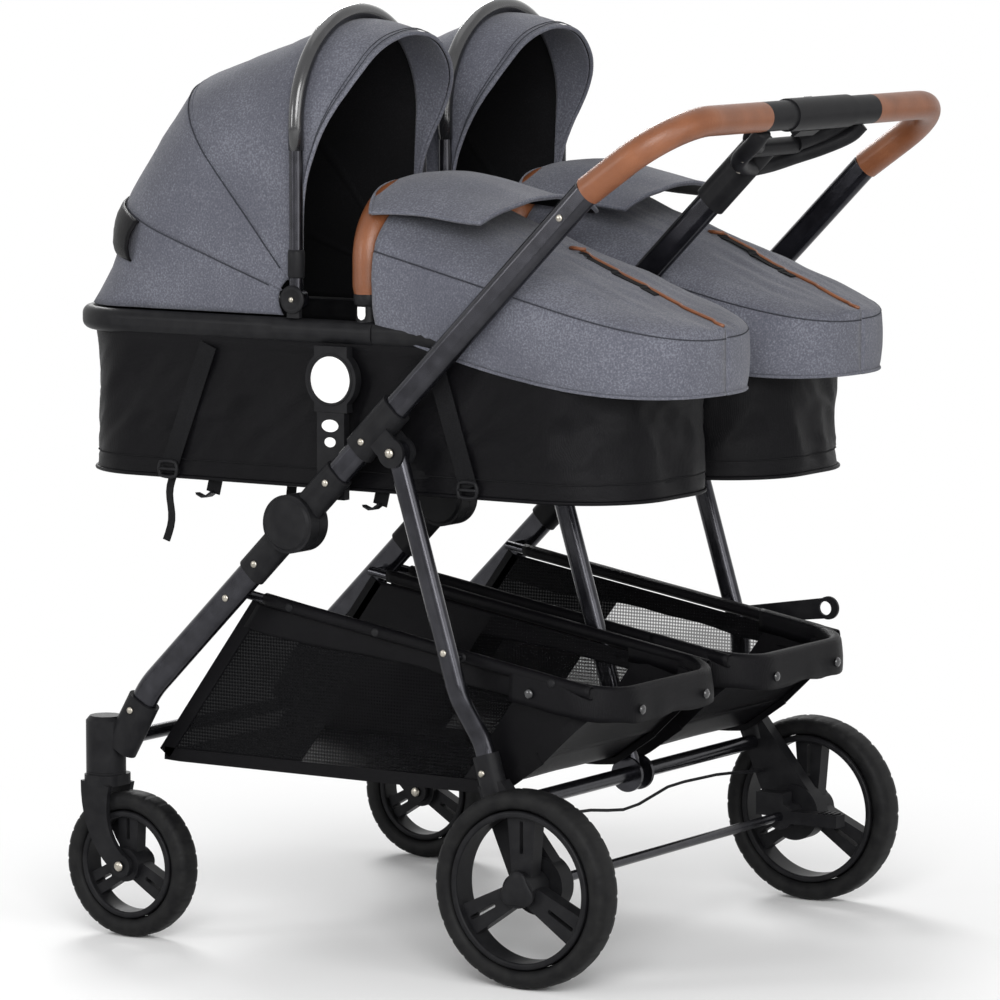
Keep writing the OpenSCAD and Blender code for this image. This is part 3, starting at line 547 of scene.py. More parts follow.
def beside_canopy(xc, u, row, lift):
    """A point beside the canopy's sheet: outside it for a positive lift, inside it for a negative one."""
    p = canopy_point(xc, u, row)
    arm = Vector((0, p.y - HINGE.y, p.z - HINGE.z))
    middle = arm.normalized() * min(arm.length, SIDE)
    outward = (p - Vector((xc, HINGE.y, HINGE.z)) - middle).normalized()
    return p + outward * lift


def rear_flap(xc, u, v):
    """The dark flap over the window at the canopy's back, fixed at its top and bulging below."""
    lift = 0.003 + 0.010 * math.sin(math.pi * v) ** 0.8
    return beside_canopy(xc, lerp(0.30, 0.70, u), lerp(0.50, 0.97, v), lift)


def canopy_line(xc, row, count, trim):
    """Points along a row, leaving out some at each end."""
    return [canopy_point(xc, i / count, row) for i in range(trim, count - trim + 1)]


def canopy_cloth(side, xc):
    cot, hood = "cot_" + side, "canopy_" + side
    last = len(ROWS) - 1
    sheet = grid("canopy_sheet_" + side, lambda u, v: canopy_point(xc, u, ROWS[round(v * last)]),
                 96, last, [GREY, LINING], None, thick=0.0022, inner=1)
    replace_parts(sheet, "canopy_front_" + side, "canopy_middle_" + side, "canopy_rear_" + side)
    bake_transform(sheet)
    # Each seam gets a grey bead and, just before it, a thin darker line: painted shade beside the bead.
    for k, seam_row in enumerate((1.0, 2.0)):
        for line, (shift, radius, mat) in enumerate(((0.001, 0.0013, GREY), (-0.028, 0.0009, STITCH_AND_SEAM_SHADE))):
            path = canopy_line(xc, seam_row + shift, 90, 2)
            seam = sweep("canopy_seam_%d_%d_%s" % (k, line, side), path, radius, mat, None, 6)
            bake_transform(seam)
    inside = Vector((xc, HINGE.y, HINGE.z + 0.1))
    for k, row in enumerate((3.86, 3.93)):
        path = [p + (p - inside).normalized() * 0.0022 for p in canopy_line(xc, row, 160, 8)]
        sweep("visor_stitch_%d_%s" % (k, side), path, 0.0006, STITCH_AND_SEAM_SHADE, hood, 5)
    facing = grid("visor_facing_" + side,
                  lambda u, v: beside_canopy(xc, lerp(0.02, 0.98, u), lerp(3.1, 3.975, v), -0.0032),
                  96, 12, [GREY], hood, thick=0.0006)
    flap = grid("rear_flap_" + side, partial(rear_flap, xc), 40, 16, [BLACK], cot, thick=0.0020)
    sweep("visor_piping_" + side, canopy_line(xc, 4.0, 120, 4), 0.0026, GREY, hood, 8)


def canopy_fittings(side, xc):
    """The bow's glossy cover, its feet and the hinges' caps."""
    cot, hood = "cot_" + side, "canopy_" + side
    top = HINGE.z + SIDE
    arc = [Vector((xc - BOW_HALF, HINGE.y, top - BOW_LEG))]
    for k in range(41):
        angle = math.pi * k / 40
        arc.append(Vector((xc - BOW_HALF * math.cos(angle), HINGE.y, top + BOW_HALF * math.sin(angle))))
    arc.append(Vector((xc + BOW_HALF, HINGE.y, top - BOW_LEG)))
    sweep("bow_cover_" + side, arc, 0.0096, GLOSS, hood, 16)
    for end in ENDS:
        tag = "%s_%d" % (side, end + 1)
        out = Vector((end, 0, 0))
        foot = Vector((xc + end * BOW_HALF, HINGE.y, HINGE.z + BOW_FOOT_RISE))
        turned("bow_foot_" + tag, foot, (0, 0, 1), BOW_FOOT, PLASTIC, hood)
        cap = Vector((xc + end * CAP_X, HINGE.y, HINGE.z))
        turned("hinge_cap_" + tag, cap, out, HINGE_CAP, PLASTIC, cot)
        rivet("hinge_screw_" + tag, cap + out * HINGE_CAP[-1][1], out, 0.0035, cot)


for side, sign in SIDES.items():
    canopy_cloth(side, sign * COT_X)
    canopy_fittings(side, sign * COT_X)

# Foot aprons: a side band, a crowned top panel that slopes to the foot end, and a flap over the bumper.

APRON_FRONT, APRON_BACK = -0.0195, COT_BACK - 0.046
APRON_HALF = 0.1505
APRON_ROUND = 0.170
APRON_POWER = 2 / 2.6
APRON_SEAM = (0.872, 0.774)
APRON_CROWN = (0.066, 0.010)
APRON_HEM, APRON_HEM_RISE = 0.706, 0.071
APRON_BAND = 0.62
APRON_TUCK = 0.0045
PIPING = 0.0024
FLAP_HALF, FLAP_FRONT, FLAP_BACK = 0.1385, 0.0235, -0.176
FLAP_ARCH, FLAP_FREE = 0.9625, 0.934
ZIP_X, ZIP_Y, ZIP_LIFT = 0.028, -0.200, 0.0018


def apron_plan(v):
    """Y and half width of the apron: straight sides for half of v, then a round foot end that closes."""
    if v <= 0.5:
        return lerp(APRON_FRONT, APRON_BACK + APRON_ROUND, 2 * v), APRON_HALF
    angle = math.pi * (v - 0.5)
    reach = APRON_ROUND * math.sin(angle) ** APRON_POWER
    return APRON_BACK + APRON_ROUND - reach, APRON_HALF * max(0.0, math.cos(angle)) ** APRON_POWER


def apron_share(y):
    """The v at which the apron passes a given Y."""
    if y >= APRON_BACK + APRON_ROUND:
        return 0.5 * (APRON_FRONT - y) / (APRON_FRONT - APRON_BACK - APRON_ROUND)
    reach = min(1.0, (APRON_BACK + APRON_ROUND - y) / APRON_ROUND)
    return 0.5 + math.asin(reach ** (1 / APRON_POWER)) / math.pi


def apron_point(xc, u, v):
    """u goes across from hem to hem, v from the bumper to the foot end."""
    y, half = apron_plan(v)
    far_end = (APRON_FRONT - y) / (APRON_FRONT - APRON_BACK)
    seam_z = lerp(*APRON_SEAM, far_end)
    crown = seam_z + lerp(*APRON_CROWN, far_end)
    hem_z = APRON_HEM + APRON_HEM_RISE * (1 - far_end) ** 2
    s = abs(2 * u - 1)
    way = -1 if u < 0.5 else 1
    if s > APRON_BAND:
        t = (1 - s) / (1 - APRON_BAND)
        z = lerp(hem_z, seam_z, t)
        puff = math.sin(math.pi * t) ** 0.7
        x = half - APRON_TUCK * (1 - puff) - 0.005 * (1 - t) ** 4
        x -= 0.0030 * abs(fold(y, z, xc, 14.0)) + 0.0016 * abs(fold(y * 1.5, z, xc, 42.0))
        x = max(x, 0.0)
    else:
        t = s / APRON_BAND
        dome = (1 - t ** 2.6)
        x = max(0.0, half - APRON_TUCK) * t ** 0.92
        z = seam_z - 0.0015 + (crown - seam_z) * dome ** 0.8
        z += 0.005 * fold(x + xc, y, 0.3, 11.0) * (1 - t ** 4)
        z += 0.0025 * fold(x * 2 + xc, y * 0.7, 0.7, 30.0) * (1 - t ** 4)
    if abs(s - APRON_BAND) < 0.012:
        x -= min(x, 0.002)
        z -= 0.0012
    return Vector((xc + way * x, y, z))


def flap_point(xc, u, v):
    """The loose flap: u goes across, v from the bumper's front to its free edge."""
    p = 2 * u - 1
    half = FLAP_HALF - 0.006 * v
    front = FLAP_FRONT - 0.034 * abs(p) ** 2.6
    y = lerp(front, FLAP_BACK + 0.012 * abs(p) ** 3, v)
    arch = FLAP_ARCH - 0.047 * abs(p) ** 2.8
    free = FLAP_FREE - 0.026 * abs(p) ** 2.2
    z = lerp(arch, free, smooth(v) ** 0.9)
    z -= 0.015 * (1 - v) ** 6 * (1 - abs(p) ** 3)
    z += 0.008 * math.sin(math.pi * v) * (1 - 0.5 * p * p)
    z += 0.003 * fold(p * 0.2 + xc, y, 0.1, 14.0) * smooth(v * 2)
    return Vector((xc + p * half, y, z))


def on_apron(xc, offset, y, lift):
    """The point of the apron's top panel at a distance from the cot's middle."""
    v = apron_share(y)
    across = [apron_point(xc, 0.5 - APRON_BAND / 2 + APRON_BAND * k / 60, v) for k in range(61)]
    nearest = min(across, key=lambda q: abs(q.x - xc - offset))
    return nearest + Vector((0, -0.3 * lift, lift))


def zip_line(side, xc):
    """Tan piping from the flap to the foot end, with a hook at its start and a dark slit beside it."""
    steps = 40
    line = [on_apron(xc, lerp(ZIP_X, 0.0, k / steps), lerp(ZIP_Y, APRON_BACK + 0.004, k / steps), ZIP_LIFT)
            for k in range(steps + 1)]
    hook = [line[0] + Vector(shift) for shift in ((-0.016, -0.022, 0.0), (-0.018, -0.008, 0.001),
                                                  (-0.012, 0.002, 0.001), (-0.004, 0.004, 0.0005))]
    sweep("zip_piping_" + side, hook + line, 0.0023, LEATHER, "cot_" + side, 8)
    slit = [p + Vector((-0.009, 0, -0.0012)) for p in line[2:24]]
    strap("zip_slit_" + side, slit, 0.011, 0.0016, (0, 0.15, 1), LINING, "cot_" + side, "grey_fabric")


for side, sign in SIDES.items():
    xc = sign * COT_X
    body = "cot_" + side
    apron = grid("apron_" + side, partial(apron_point, xc), 100, 70, [GREY, LINING], body,
                 thick=0.003, inner=1)
    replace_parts(apron, "cot_apron_" + side)
    flap = grid("apron_flap_" + side, partial(flap_point, xc), 48, 30, [GREY, LINING], body,
                thick=0.004, inner=1)
    around = [(i / 40, 0) for i in range(41)] + [(1, i / 24) for i in range(1, 25)]
    around += [(1 - i / 40, 1) for i in range(1, 41)] + [(0, 1 - i / 24) for i in range(1, 24)]
    edge = [flap_point(xc, u, v) for u, v in around]
    sweep("flap_piping_" + side, edge, PIPING, GREY, body, 8, closed=True)
    zip_line(side, xc)
    for end in ENDS:
        tag = "%s_%d" % (side, end + 1)
        # A thin darker line in the groove along each edge of the top panel: painted shade in the seam.
        seam = [apron_point(xc, 0.5 + end * APRON_BAND / 2, v / 60) for v in range(61)]
        seam = [p + Vector((end * 0.0012, 0, 0.0006)) for p in seam]
        sweep("apron_seam_shade_" + tag, seam, 0.0009, STITCH_AND_SEAM_SHADE, body, 5)
        hem = [apron_point(xc, 0.5 + end * 0.499, v / 60) + Vector((end * 0.001, 0, 0)) for v in range(61)]
        sweep("apron_hem_" + tag, hem, 0.0022, GREY, body, 6)

# Carrycot bodies: cloth walls with folds, a piped bottom edge, a mattress and straps.

TUB_LOW = 0.578
TUB_W, TUB_L, TUB_R = 0.1428, 0.4098, 0.1105
TUB_TUCK = 0.010
TUB_AROUND, TUB_ROWS = 260, 34
TUB_SEAM = 0.13
PAD_W, PAD_L, PAD_R = 0.136, 0.4028, 0.104
PAD_LOW, PAD_TOP = 0.5828, 0.612
STRAP_TOP, STRAP_LOW = 0.745, 0.590
STRAP_RUNS = ((0.227, 0.288), (-0.104, -0.155))
CLIP_PLACES = (0.227, -0.022)
CLIP_TOP, HOOK_Z, CLIP_LIFT = 0.580, 0.560, -0.014
STRAP_WIDE, TAIL_WIDE, CLIP_WIDE = 0.025, 0.013, 0.020
STRAP_THICK, WEB_THICK = 0.0014, 0.0016


def outline(t, half_w, half_l, radius):
    """A point and its outward direction on a rounded rectangle, by share of its length."""
    corner_x, corner_y = half_w - radius, half_l - radius
    straight_x, straight_y, arc = 2 * corner_x, 2 * corner_y, math.pi * radius / 2
    s = (t % 1.0) * 2 * (straight_x + straight_y + 2 * arc)
    corners = ((corner_x, corner_y), (-corner_x, corner_y), (-corner_x, -corner_y), (corner_x, -corner_y))
    starts = ((half_w, -corner_y), (corner_x, half_l), (-half_w, corner_y), (-corner_x, -half_l))
    heads = ((0, 1), (-1, 0), (0, -1), (1, 0))
    legs = (straight_y, arc, straight_x, arc) * 2
    for k, length in enumerate(legs):
        if s <= length or k == len(legs) - 1:
            break
        s -= length
    side, on_arc = divmod(k, 2)
    angle = math.radians(90 * side) + (s / radius if on_arc else 0)
    out = Vector((math.cos(angle), math.sin(angle), 0))
    if on_arc:
        return Vector((*corners[side], 0)) + out * radius, out
    x, y = starts[side]
    dx, dy = heads[side]
    return Vector((x + dx * s, y + dy * s, 0)), out


def tub_point(xc, t, v):
    """t goes around the tub, v from its bottom edge to its rim. The last row is tucked into the rim."""
    p, out = outline(t, TUB_W, TUB_L, TUB_R)
    z = RIM_LOW + TUB_TUCK if v > 0.99 else lerp(TUB_LOW, RIM_LOW - 0.0004, v)
    y = p.y + COT_MID
    slack = math.sin(math.pi * min(1, v * 1.02)) ** 0.6
    pleat = fold(t * 30, z * 2.2, xc * 7, 1.0)
    diagonal = fold(p.x * 1.3 + z, y * 1.1 + z * 0.8, xc, 13.0)
    crisp = max(0.0, 1 - abs(fold(p.x + 0.5 * z, y + 0.6 * z, 2 * xc, 15.0)) * 2.4)
    small = abs(fold(p.x + 0.7 * z, y + 0.9 * z, 2 * xc, 34.0))
    loose = 0.0070 + 0.0045 * pleat + 0.0045 * diagonal - 0.0050 * crisp + 0.0040 * small
    depth = 0.0012 + slack * loose
    if 0.10 < v < TUB_SEAM:
        depth += 0.0012
    depth = min(0.0125, max(0.0006, depth))
    return Vector((xc, COT_MID, z)) + p - out * depth


def mattress(name, xc, body):
    """A crowned pad with round edges."""
    edge, count = 0.010, 96
    rings = []
    for k in range(7):
        a = math.pi * k / 6
        rings.append((1 - edge * (1 - math.sin(a)) / PAD_W, lerp(PAD_LOW, PAD_TOP, (1 - math.cos(a)) / 2)))
    rings += [(scale, PAD_TOP + rise) for scale, rise in ((0.8, 0.003), (0.5, 0.005), (0.2, 0.006))]
    flat = [outline(i / count, PAD_W, PAD_L, PAD_R)[0] for i in range(count)]
    verts = [Vector((xc, COT_MID, z)) + p * scale for scale, z in rings for p in flat]
    faces = ring_faces(len(rings), count) + end_faces(len(rings), count)
    return piece(name, verts, faces, [LINING], body)


def buckle(name, center, way, body):
    """A ladder buckle: a rounded frame with a bar across it."""
    half_wide, half_high = 0.0135, 0.0099
    out = Vector((way, 0, 0.0001)).normalized()
    across = Vector((0, 1, 0))
    rise = out.cross(across)
    ring = []
    for c, s in circle(24):
        shape = 1 / max(abs(c), abs(s)) ** 0.55
        ring.append(center + across * (half_wide * c * shape) + rise * (half_high * s * shape) + out * 0.003)
    sweep(name, ring, 0.00234, PLASTIC, body, 8, closed=True)
    bar = [center + across * (half_wide * k) + out * 0.0032 for k in (-1, -0.5, 0, 0.5, 1)]
    sweep(name + "_bar", bar, 0.00216, PLASTIC, body, 8)


def tub(side, xc, body):
    verts = [tub_point(xc, i / TUB_AROUND, j / TUB_ROWS)
             for j in range(TUB_ROWS + 1) for i in range(TUB_AROUND)]
    faces = ring_faces(TUB_ROWS + 1, TUB_AROUND) + end_faces(TUB_ROWS + 1, TUB_AROUND)[:1]
    made = piece("tub_" + side, verts, faces, [BLACK])
    thicken(made, 0.003)
    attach(made, body)
    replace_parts(made, "cot_tub_" + side)
    edge = [tub_point(xc, i / 200, 0) + Vector((0, 0, 0.001)) for i in range(200)]
    sweep("tub_piping_" + side, edge, PIPING, BLACK, body, 8, closed=True)
    seam = [tub_point(xc, i / 240, TUB_SEAM) for i in range(240)]
    sweep("tub_seam_" + side, seam, 0.0008, LINING, body, 5, closed=True)


def tub_straps(side, xc, end, body):
    """Straps with buckles, a loose tail and two clips on one long wall of the tub."""
    tag = "%s_%d" % (side, end + 1)
    out = (end, 0, 0)

    def wall(y, z, lift):
        return Vector((xc + end * TUB_W + end * (lift - 0.001), y, z))

    for k, (y0, y1) in enumerate(STRAP_RUNS):
        path = [wall(lerp(y0, y1, q / 12), lerp(STRAP_TOP, STRAP_LOW, q / 12), 0.0012) for q in range(13)]
        strap("strap_%s_%d" % (tag, k), path, STRAP_WIDE, STRAP_THICK, out, WEBBING, body)
        buckle("strap_buckle_%s_%d" % (tag, k), wall(y1, STRAP_LOW - 0.002, 0.0016), end, body)
    tail = []
    for q in range(11):
        y = STRAP_RUNS[0][1] + 0.0012 * q + 0.002 * math.sin(q * 0.6)
        tail.append(wall(y, STRAP_LOW - 0.008 - 0.0085 * q, -0.010 + 0.003 * math.sin(q * 0.7)))
    strap("strap_tail_" + tag, tail, TAIL_WIDE, WEB_THICK, (end, 0.3, 0), WEBBING, body)
    for k, y in enumerate(CLIP_PLACES):
        drop = [wall(y + 0.001 * q, CLIP_TOP - 0.004 * q, CLIP_LIFT) for q in range(6)]
        hook = [wall(y + 0.003 + 0.007 * q, HOOK_Z - 0.007 * math.sin(q * 0.9), CLIP_LIFT + 0.002 * q)
                for q in range(4)]
        strap("clip_strap_%s_%d" % (tag, k), drop, CLIP_WIDE, WEB_THICK, out, WEBBING, body)
        strap("clip_hook_%s_%d" % (tag, k), hook, CLIP_WIDE, 0.0030, (0, 0.3, 1), PLASTIC, body)


# Bare white plates on the cots' sides and the posts under them, and the bumpers' feet.

PLATE_X, PLATE_Y = 0.3207, 0.037
DISC_Z = 0.712
DISC = [(0.0285, 0.0), (0.0285, 0.0008), (0.0278, 0.0014), (0.0, 0.0014)]
DISC_RING = 0.0305
OVALS = ((0.656, 0.012, 0.0075), (0.636, 0.008, 0.006))
BUMPER_HALF, BUMPER_Y = 0.124, 0.001
COLLAR = [(0.0145, -0.004), (0.0185, -0.002), (0.0192, 0.004), (0.0188, 0.010), (0.0182, 0.011)]
COLLAR_Z = RIM_TOP + 0.0225
FOOT_PLATE_OUT, FOOT_PLATE_Z = 0.0165, RIM_TOP + 0.010
FOOT_PLATE_WIDE, FOOT_PLATE_HIGH = 0.0055, 0.008
FOOT_PLATE = ((-1, 1), (1, 1), (1, -0.3), (0.7, -0.8), (0, -1), (-0.7, -0.8), (-1, -0.3))


def cot_plates(side, sign, body):
    outer = sign * PLATE_X
    turned("cot_disc_" + side, (outer, PLATE_Y, DISC_Z), (sign, 0, 0), DISC, WHITE, body, 48)
    ring = [Vector((outer, PLATE_Y + DISC_RING * c, DISC_Z + DISC_RING * s)) for c, s in circle(48)]
    sweep("cot_disc_ring_" + side, ring, 0.0016, PLASTIC, body, 8, closed=True)
    for k, (z, wide, high) in enumerate(OVALS):
        ring = [Vector((outer, PLATE_Y + wide * c, z + high * s)) for c, s in circle(32)]
        white_plate("post_plate_%d_%s" % (k, side), ring, sign, "upper_frame")


def bumper_feet(side, xc, body):
    for end in ENDS:
        tag = "%s_%d" % (side, end + 1)
        x = xc + end * BUMPER_HALF
        turned("bumper_collar_" + tag, (x, BUMPER_Y, COLLAR_Z), (0, 0, 1), COLLAR, PLASTIC, body)
        ring = [Vector((x + end * FOOT_PLATE_OUT, BUMPER_Y + FOOT_PLATE_WIDE * c,
                        FOOT_PLATE_Z + FOOT_PLATE_HIGH * s)) for c, s in FOOT_PLATE]
        white_plate("bumper_plate_" + tag, ring, end, body)


for side, sign in SIDES.items():
    xc = sign * COT_X
    body = "cot_" + side
    tub(side, xc, body)
    pad = mattress("mattress_" + side, xc, body)
    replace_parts(pad, "cot_mattress_" + side)
    for end in ENDS:
        tub_straps(side, xc, end, body)
    cot_plates(side, sign, body)
    bumper_feet(side, xc, body)

# Tyres with shoulder treads, hub caps and bolts.

REAR_HUB, REAR_RADIUS, REAR_WIDTH = (0.345, -0.260), 0.120, 0.042
FRONT_HUB, FRONT_RADIUS, FRONT_WIDTH = (0.334, 0.330), 0.092, 0.036
TYRE_DEPTH = 0.024
TYRE_POWER = 3.2
HUB_CAP_OUT, HUB_CAP_SIZE = 0.020, 0.021
BOLT_OUT, BOLT_RADIUS = 0.029, 0.0065


def tyre(name, x, y, radius, width, body):
    around, across = 240, 16
    verts = []
    for i, (turn_c, turn_s) in enumerate(circle(around)):
        for c, s in circle(across):
            shape = 1 / (abs(c) ** TYRE_POWER + abs(s) ** TYRE_POWER) ** (1 / TYRE_POWER)
            r = radius - TYRE_DEPTH / 2 + TYRE_DEPTH / 2 * c * shape
            shoulder = c > 0.1 and abs(s) > 0.3
            if shoulder and i % 8 == 0:
                r -= 0.0012
            if c > 0.6 and abs(s) < 0.12:
                r -= 0.0008
            verts.append(Vector((x + width / 2 * s * shape, y + r * turn_c, radius + r * turn_s)))
    faces = [face[::-1] for face in ring_faces(around, across, closed=True)]
    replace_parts(piece(name + "_tread", verts, faces, [RUBBER], body), name)


def hub_cap(name, center, way, size, body):
    """A three-sided cap, crowned towards its middle."""
    ring = []
    count = 60
    for k in range(count):
        a = 2 * math.pi * k / count
        r = size * (1 + 0.16 * math.cos(3 * (a - math.pi / 2)))
        ring.append((r * math.cos(a), r * math.sin(a)))
    levels = ((1.0, -0.004), (1.0, 0.0008), (0.94, 0.0020), (0.5, 0.0028), (0.05, 0.0030))
    verts = [Vector(center) + Vector((way * h, c * f, s * f)) for f, h in levels for c, s in ring]
    faces = ring_faces(len(levels), count) + end_faces(len(levels), count)
    piece(name, verts, faces, [PLASTIC], body)


for side, sign in SIDES.items():
    rear_x, rear_y = REAR_HUB
    front_x, front_y = FRONT_HUB
    tyre("rear_tyre_" + side, sign * rear_x, rear_y, REAR_RADIUS, REAR_WIDTH, "rear_wheel_" + side)
    tyre("front_tyre_" + side, sign * front_x, front_y, FRONT_RADIUS, FRONT_WIDTH, "front_wheel_" + side)
    hub_cap("rear_hub_cap_" + side, (sign * (rear_x + HUB_CAP_OUT), rear_y, REAR_RADIUS), sign,
            HUB_CAP_SIZE, "rear_wheel_" + side)
    for end in ENDS:
        rivet("fork_bolt_%s_%d" % (side, end + 1), (sign * front_x + end * BOLT_OUT, front_y, FRONT_RADIUS),
              (end, 0, 0), BOLT_RADIUS, "caster_" + side)

# Rivets on the frame's outer faces: body, place and radius. The right rear leg has the lever in one's place.

RIVETS = (("upper_frame", 0.350, -0.0685, 0.6308, 0.006), ("upper_frame", 0.348, -0.0262, 0.6421, 0.0045),
          ("upper_frame", 0.347, 0.0270, 0.5890, 0.0045), ("upper_frame", 0.344, -0.3050, 0.9210, 0.0045),
          ("front_frame", 0.347, 0.1330, 0.4830, 0.0045), ("front_frame", 0.344, 0.1783, 0.4377, 0.0045),
          ("front_frame", 0.348, 0.3220, 0.2870, 0.0045), ("rear_frame", 0.343, -0.1410, 0.3936, 0.0045),
          ("rear_frame", 0.321, -0.1815, 0.2480, 0.0045))
LEVER_PLACE = 7

for side, sign in SIDES.items():
    for k, (body, x, y, z, r) in enumerate(RIVETS):
        if side == "right" and k == LEVER_PLACE:
            continue
        rivet("rivet_%s_%d" % (side, k), (sign * x, y, z), (sign, 0, 0), r, body)

# Net shopping baskets on wire frames: fine netting on a webbing hem, with solid top bands and rear walls.

TRAY_SLOPE = math.radians(9.5)
TRAY_Y, TRAY_Z = 0.17829, 0.43771
TRAY_LEN, TRAY_CORNER = 0.529, 0.060
RAIL_IN, RAIL_OUT = 0.026, 0.297
WALL_DROP = 0.008
NET_IN, NET_OUT = 0.0323, 0.2907
NET_GAP = 0.001
REAR_LIP = -0.332
REAR_LOW, REAR_TOP = -0.246, -0.328
FRONT_LOW, FRONT_TOP = 0.310, 0.165
NET_FLOOR = ((REAR_LIP, 0.3330), (-0.250, 0.2710), (-0.190, 0.2290), (-0.160, 0.2265), (0.290, 0.2265),
             (0.318, 0.2280))
BASKET_CORNER = 0.054
WALL_COLUMNS, WALL_ROWS = 72, 30
REAR_COLUMN, FRONT_COLUMN = 15, 46
FRONT_CLOTH, REAR_CLOTH = 2, 3
BAND_REACH = (-0.322, 0.150)
BAND_TURN = (-125, 305)
BAND_RADIUS = 0.0072
SNAP_REACH = (-0.27, 0.11)
SNAP_OUT = 0.007


def rail_z(y):
    return TRAY_Z - (TRAY_Y - y) * math.tan(TRAY_SLOPE)


def net_low(y):
    """The lower edge of a basket's side at a given Y."""
    for (y0, z0), (y1, z1) in zip(NET_FLOOR, NET_FLOOR[1:]):
        if y <= y1:
            return lerp(z0, z1, (y - y0) / (y1 - y0))
    return NET_FLOOR[-1][1]


def corner_inset(y):
    """How far the basket's walls draw in at its round rear corners."""
    past = min(BASKET_CORNER, max(0.0, REAR_LIP + BASKET_CORNER - y))
    return BASKET_CORNER - math.sqrt(BASKET_CORNER ** 2 - past ** 2)


def basket_side(x, out, u, v):
    """Net wall: u runs from the rear lip to the open front, v from the floor to the top band."""
    y_low = lerp(REAR_LOW, FRONT_LOW, u)
    y_top = lerp(REAR_TOP, FRONT_TOP, u)
    y = lerp(y_low, y_top, v)
    z = lerp(net_low(y_low), rail_z(y_top) - WALL_DROP, v)
    slack = math.sin(math.pi * v) * math.sin(math.pi * min(1, u * 1.05)) ** 0.5
    wave = fold(y + 0.4 * z, z * 1.5, x * 3, 9.0) + 0.6 * fold(y - z, z, x * 5, 21.0)
    dent = slack * (0.004 + 0.0045 * wave)
    return Vector((x - out * (max(0.0008, dent) + corner_inset(y)), y, z))


def basket_floor(sign, u, v):
    x = sign * lerp(NET_IN + NET_GAP, NET_OUT - NET_GAP, v)
    y = lerp(REAR_LOW, FRONT_LOW, u)
    rise = math.sin(math.pi * v) * math.sin(math.pi * u)
    return Vector((x, y, net_low(y) + 0.0015 + rise * max(0.0, 0.002 + 0.003 * fold(x, y, 0, 12.0))))


def basket_back(sign, u, v):
    y = lerp(REAR_LOW, REAR_TOP, u)
    inset = NET_GAP + corner_inset(y)
    x = sign * lerp(NET_IN + inset, NET_OUT - inset, v)
    z = lerp(net_low(REAR_LOW), rail_z(REAR_TOP) - WALL_DROP, u)
    rise = math.sin(math.pi * v) * math.sin(math.pi * u)
    return Vector((x, y + rise * 0.004, z + rise * (0.003 + 0.003 * fold(x, z, 3, 11.0))))


def top_band(x, out, k, u, v):
    """The black band along the top of a net wall, with a wavy lower edge."""
    depth = 0.15 + 0.02 * math.sin(9 * u + k) + 0.02 * fold(u, 0, x, 7.0)
    p = basket_side(x, out, u, lerp(1.0, 1 - depth, v))
    swell = 0.0012 + 0.0022 * abs(fold(p.y, p.z, x, 22.0)) * math.sin(math.pi * v)
    return p + Vector((out * swell, 0, 0))


def rail_band(sign, rail, u, v):
    """The sleeve of cloth around a side rail."""
    y = lerp(*BAND_REACH, u)
    a = math.radians(lerp(*BAND_TURN, v))
    r = BAND_RADIUS + 0.0004 * fold(y, a * 0.2, rail, 18.0)
    return Vector((sign * rail + r * math.cos(a), y, rail_z(y) + r * math.sin(a)))


def net_wall(tag, k, x, out, mats, body):
    """A side wall with its hems and top band: net in the middle, closer cloth in front and behind."""
    wall = grid("basket_wall_" + tag, partial(basket_side, x, out), WALL_COLUMNS, WALL_ROWS, mats, body,
                thick=0.0008, inner=1)
    for face in wall.data.polygons:
        column = face.index % (WALL_COLUMNS * WALL_ROWS) % WALL_COLUMNS
        on_edge = face.index >= 2 * WALL_COLUMNS * WALL_ROWS
        if on_edge or column < REAR_COLUMN:
            face.material_index = REAR_CLOTH
        elif column >= FRONT_COLUMN:
            face.material_index = FRONT_CLOTH
    low = [basket_side(x, out, q / 48, 0.0) for q in range(49)]
    strap("basket_hem_low_" + tag, low, 0.016, 0.0022, (out, 0, 0), BLACK, body)
    edging = grid("basket_top_band_" + tag, partial(top_band, x, out, k), WALL_COLUMNS, 10, [BLACK], body,
                  thick=0.0012)
    for name, u, width in (("front", 1.0, 0.018), ("rear", 0.0, 0.014)):
        path = [basket_side(x, out, u, q / 24) for q in range(25)]
        strap("basket_%s_hem_%s" % (name, tag), path, width, 0.0022, (out, 0, 0), BLACK, body)
    return wall


for side, sign in SIDES.items():
    body = "basket_unit"
    walls = ((sign * NET_OUT, sign, NET, FRONT_NET), (sign * NET_IN, -sign, PALE_NET, BLACK))
    made = [net_wall("%s_%d" % (side, k), k, x, out, [mat, PALE_NET, front_mat, BLACK], body)
            for k, (x, out, mat, front_mat) in enumerate(walls)]
    for name, place, columns in (("base", basket_floor, 48), ("back", basket_back, 16)):
        made.append(grid("basket_%s_%s" % (name, side), partial(place, sign), columns, 20, [BLACK], body,
                         thick=0.0010))
    cuts = (((0.64, 0.20), 0.086), ((0.64, 0.20), 0.086), ((0.565, 0.26), 0.146), ((0.257, 0.115), 0.027))
    for item, (flat, area) in zip(made, cuts):
        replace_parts(item, "basket_" + side)
    for k, rail in enumerate((RAIL_IN, RAIL_OUT)):
        sleeve = grid("basket_band_%s_%d" % (side, k), partial(rail_band, sign, rail), 60, 20, [BLACK], body,
                      thick=0.0010)
    for q in range(4):
        y = lerp(*SNAP_REACH, q / 3)
        rivet("basket_snap_%s_%d" % (side, q), (sign * (RAIL_OUT + SNAP_OUT), y, rail_z(y)), (sign, 0, 0),
              0.0055, body, PLASTIC)

# Cloth cuffs over the baskets' rear rails. CUFF is (distance outwards, height) from the rail's middle.

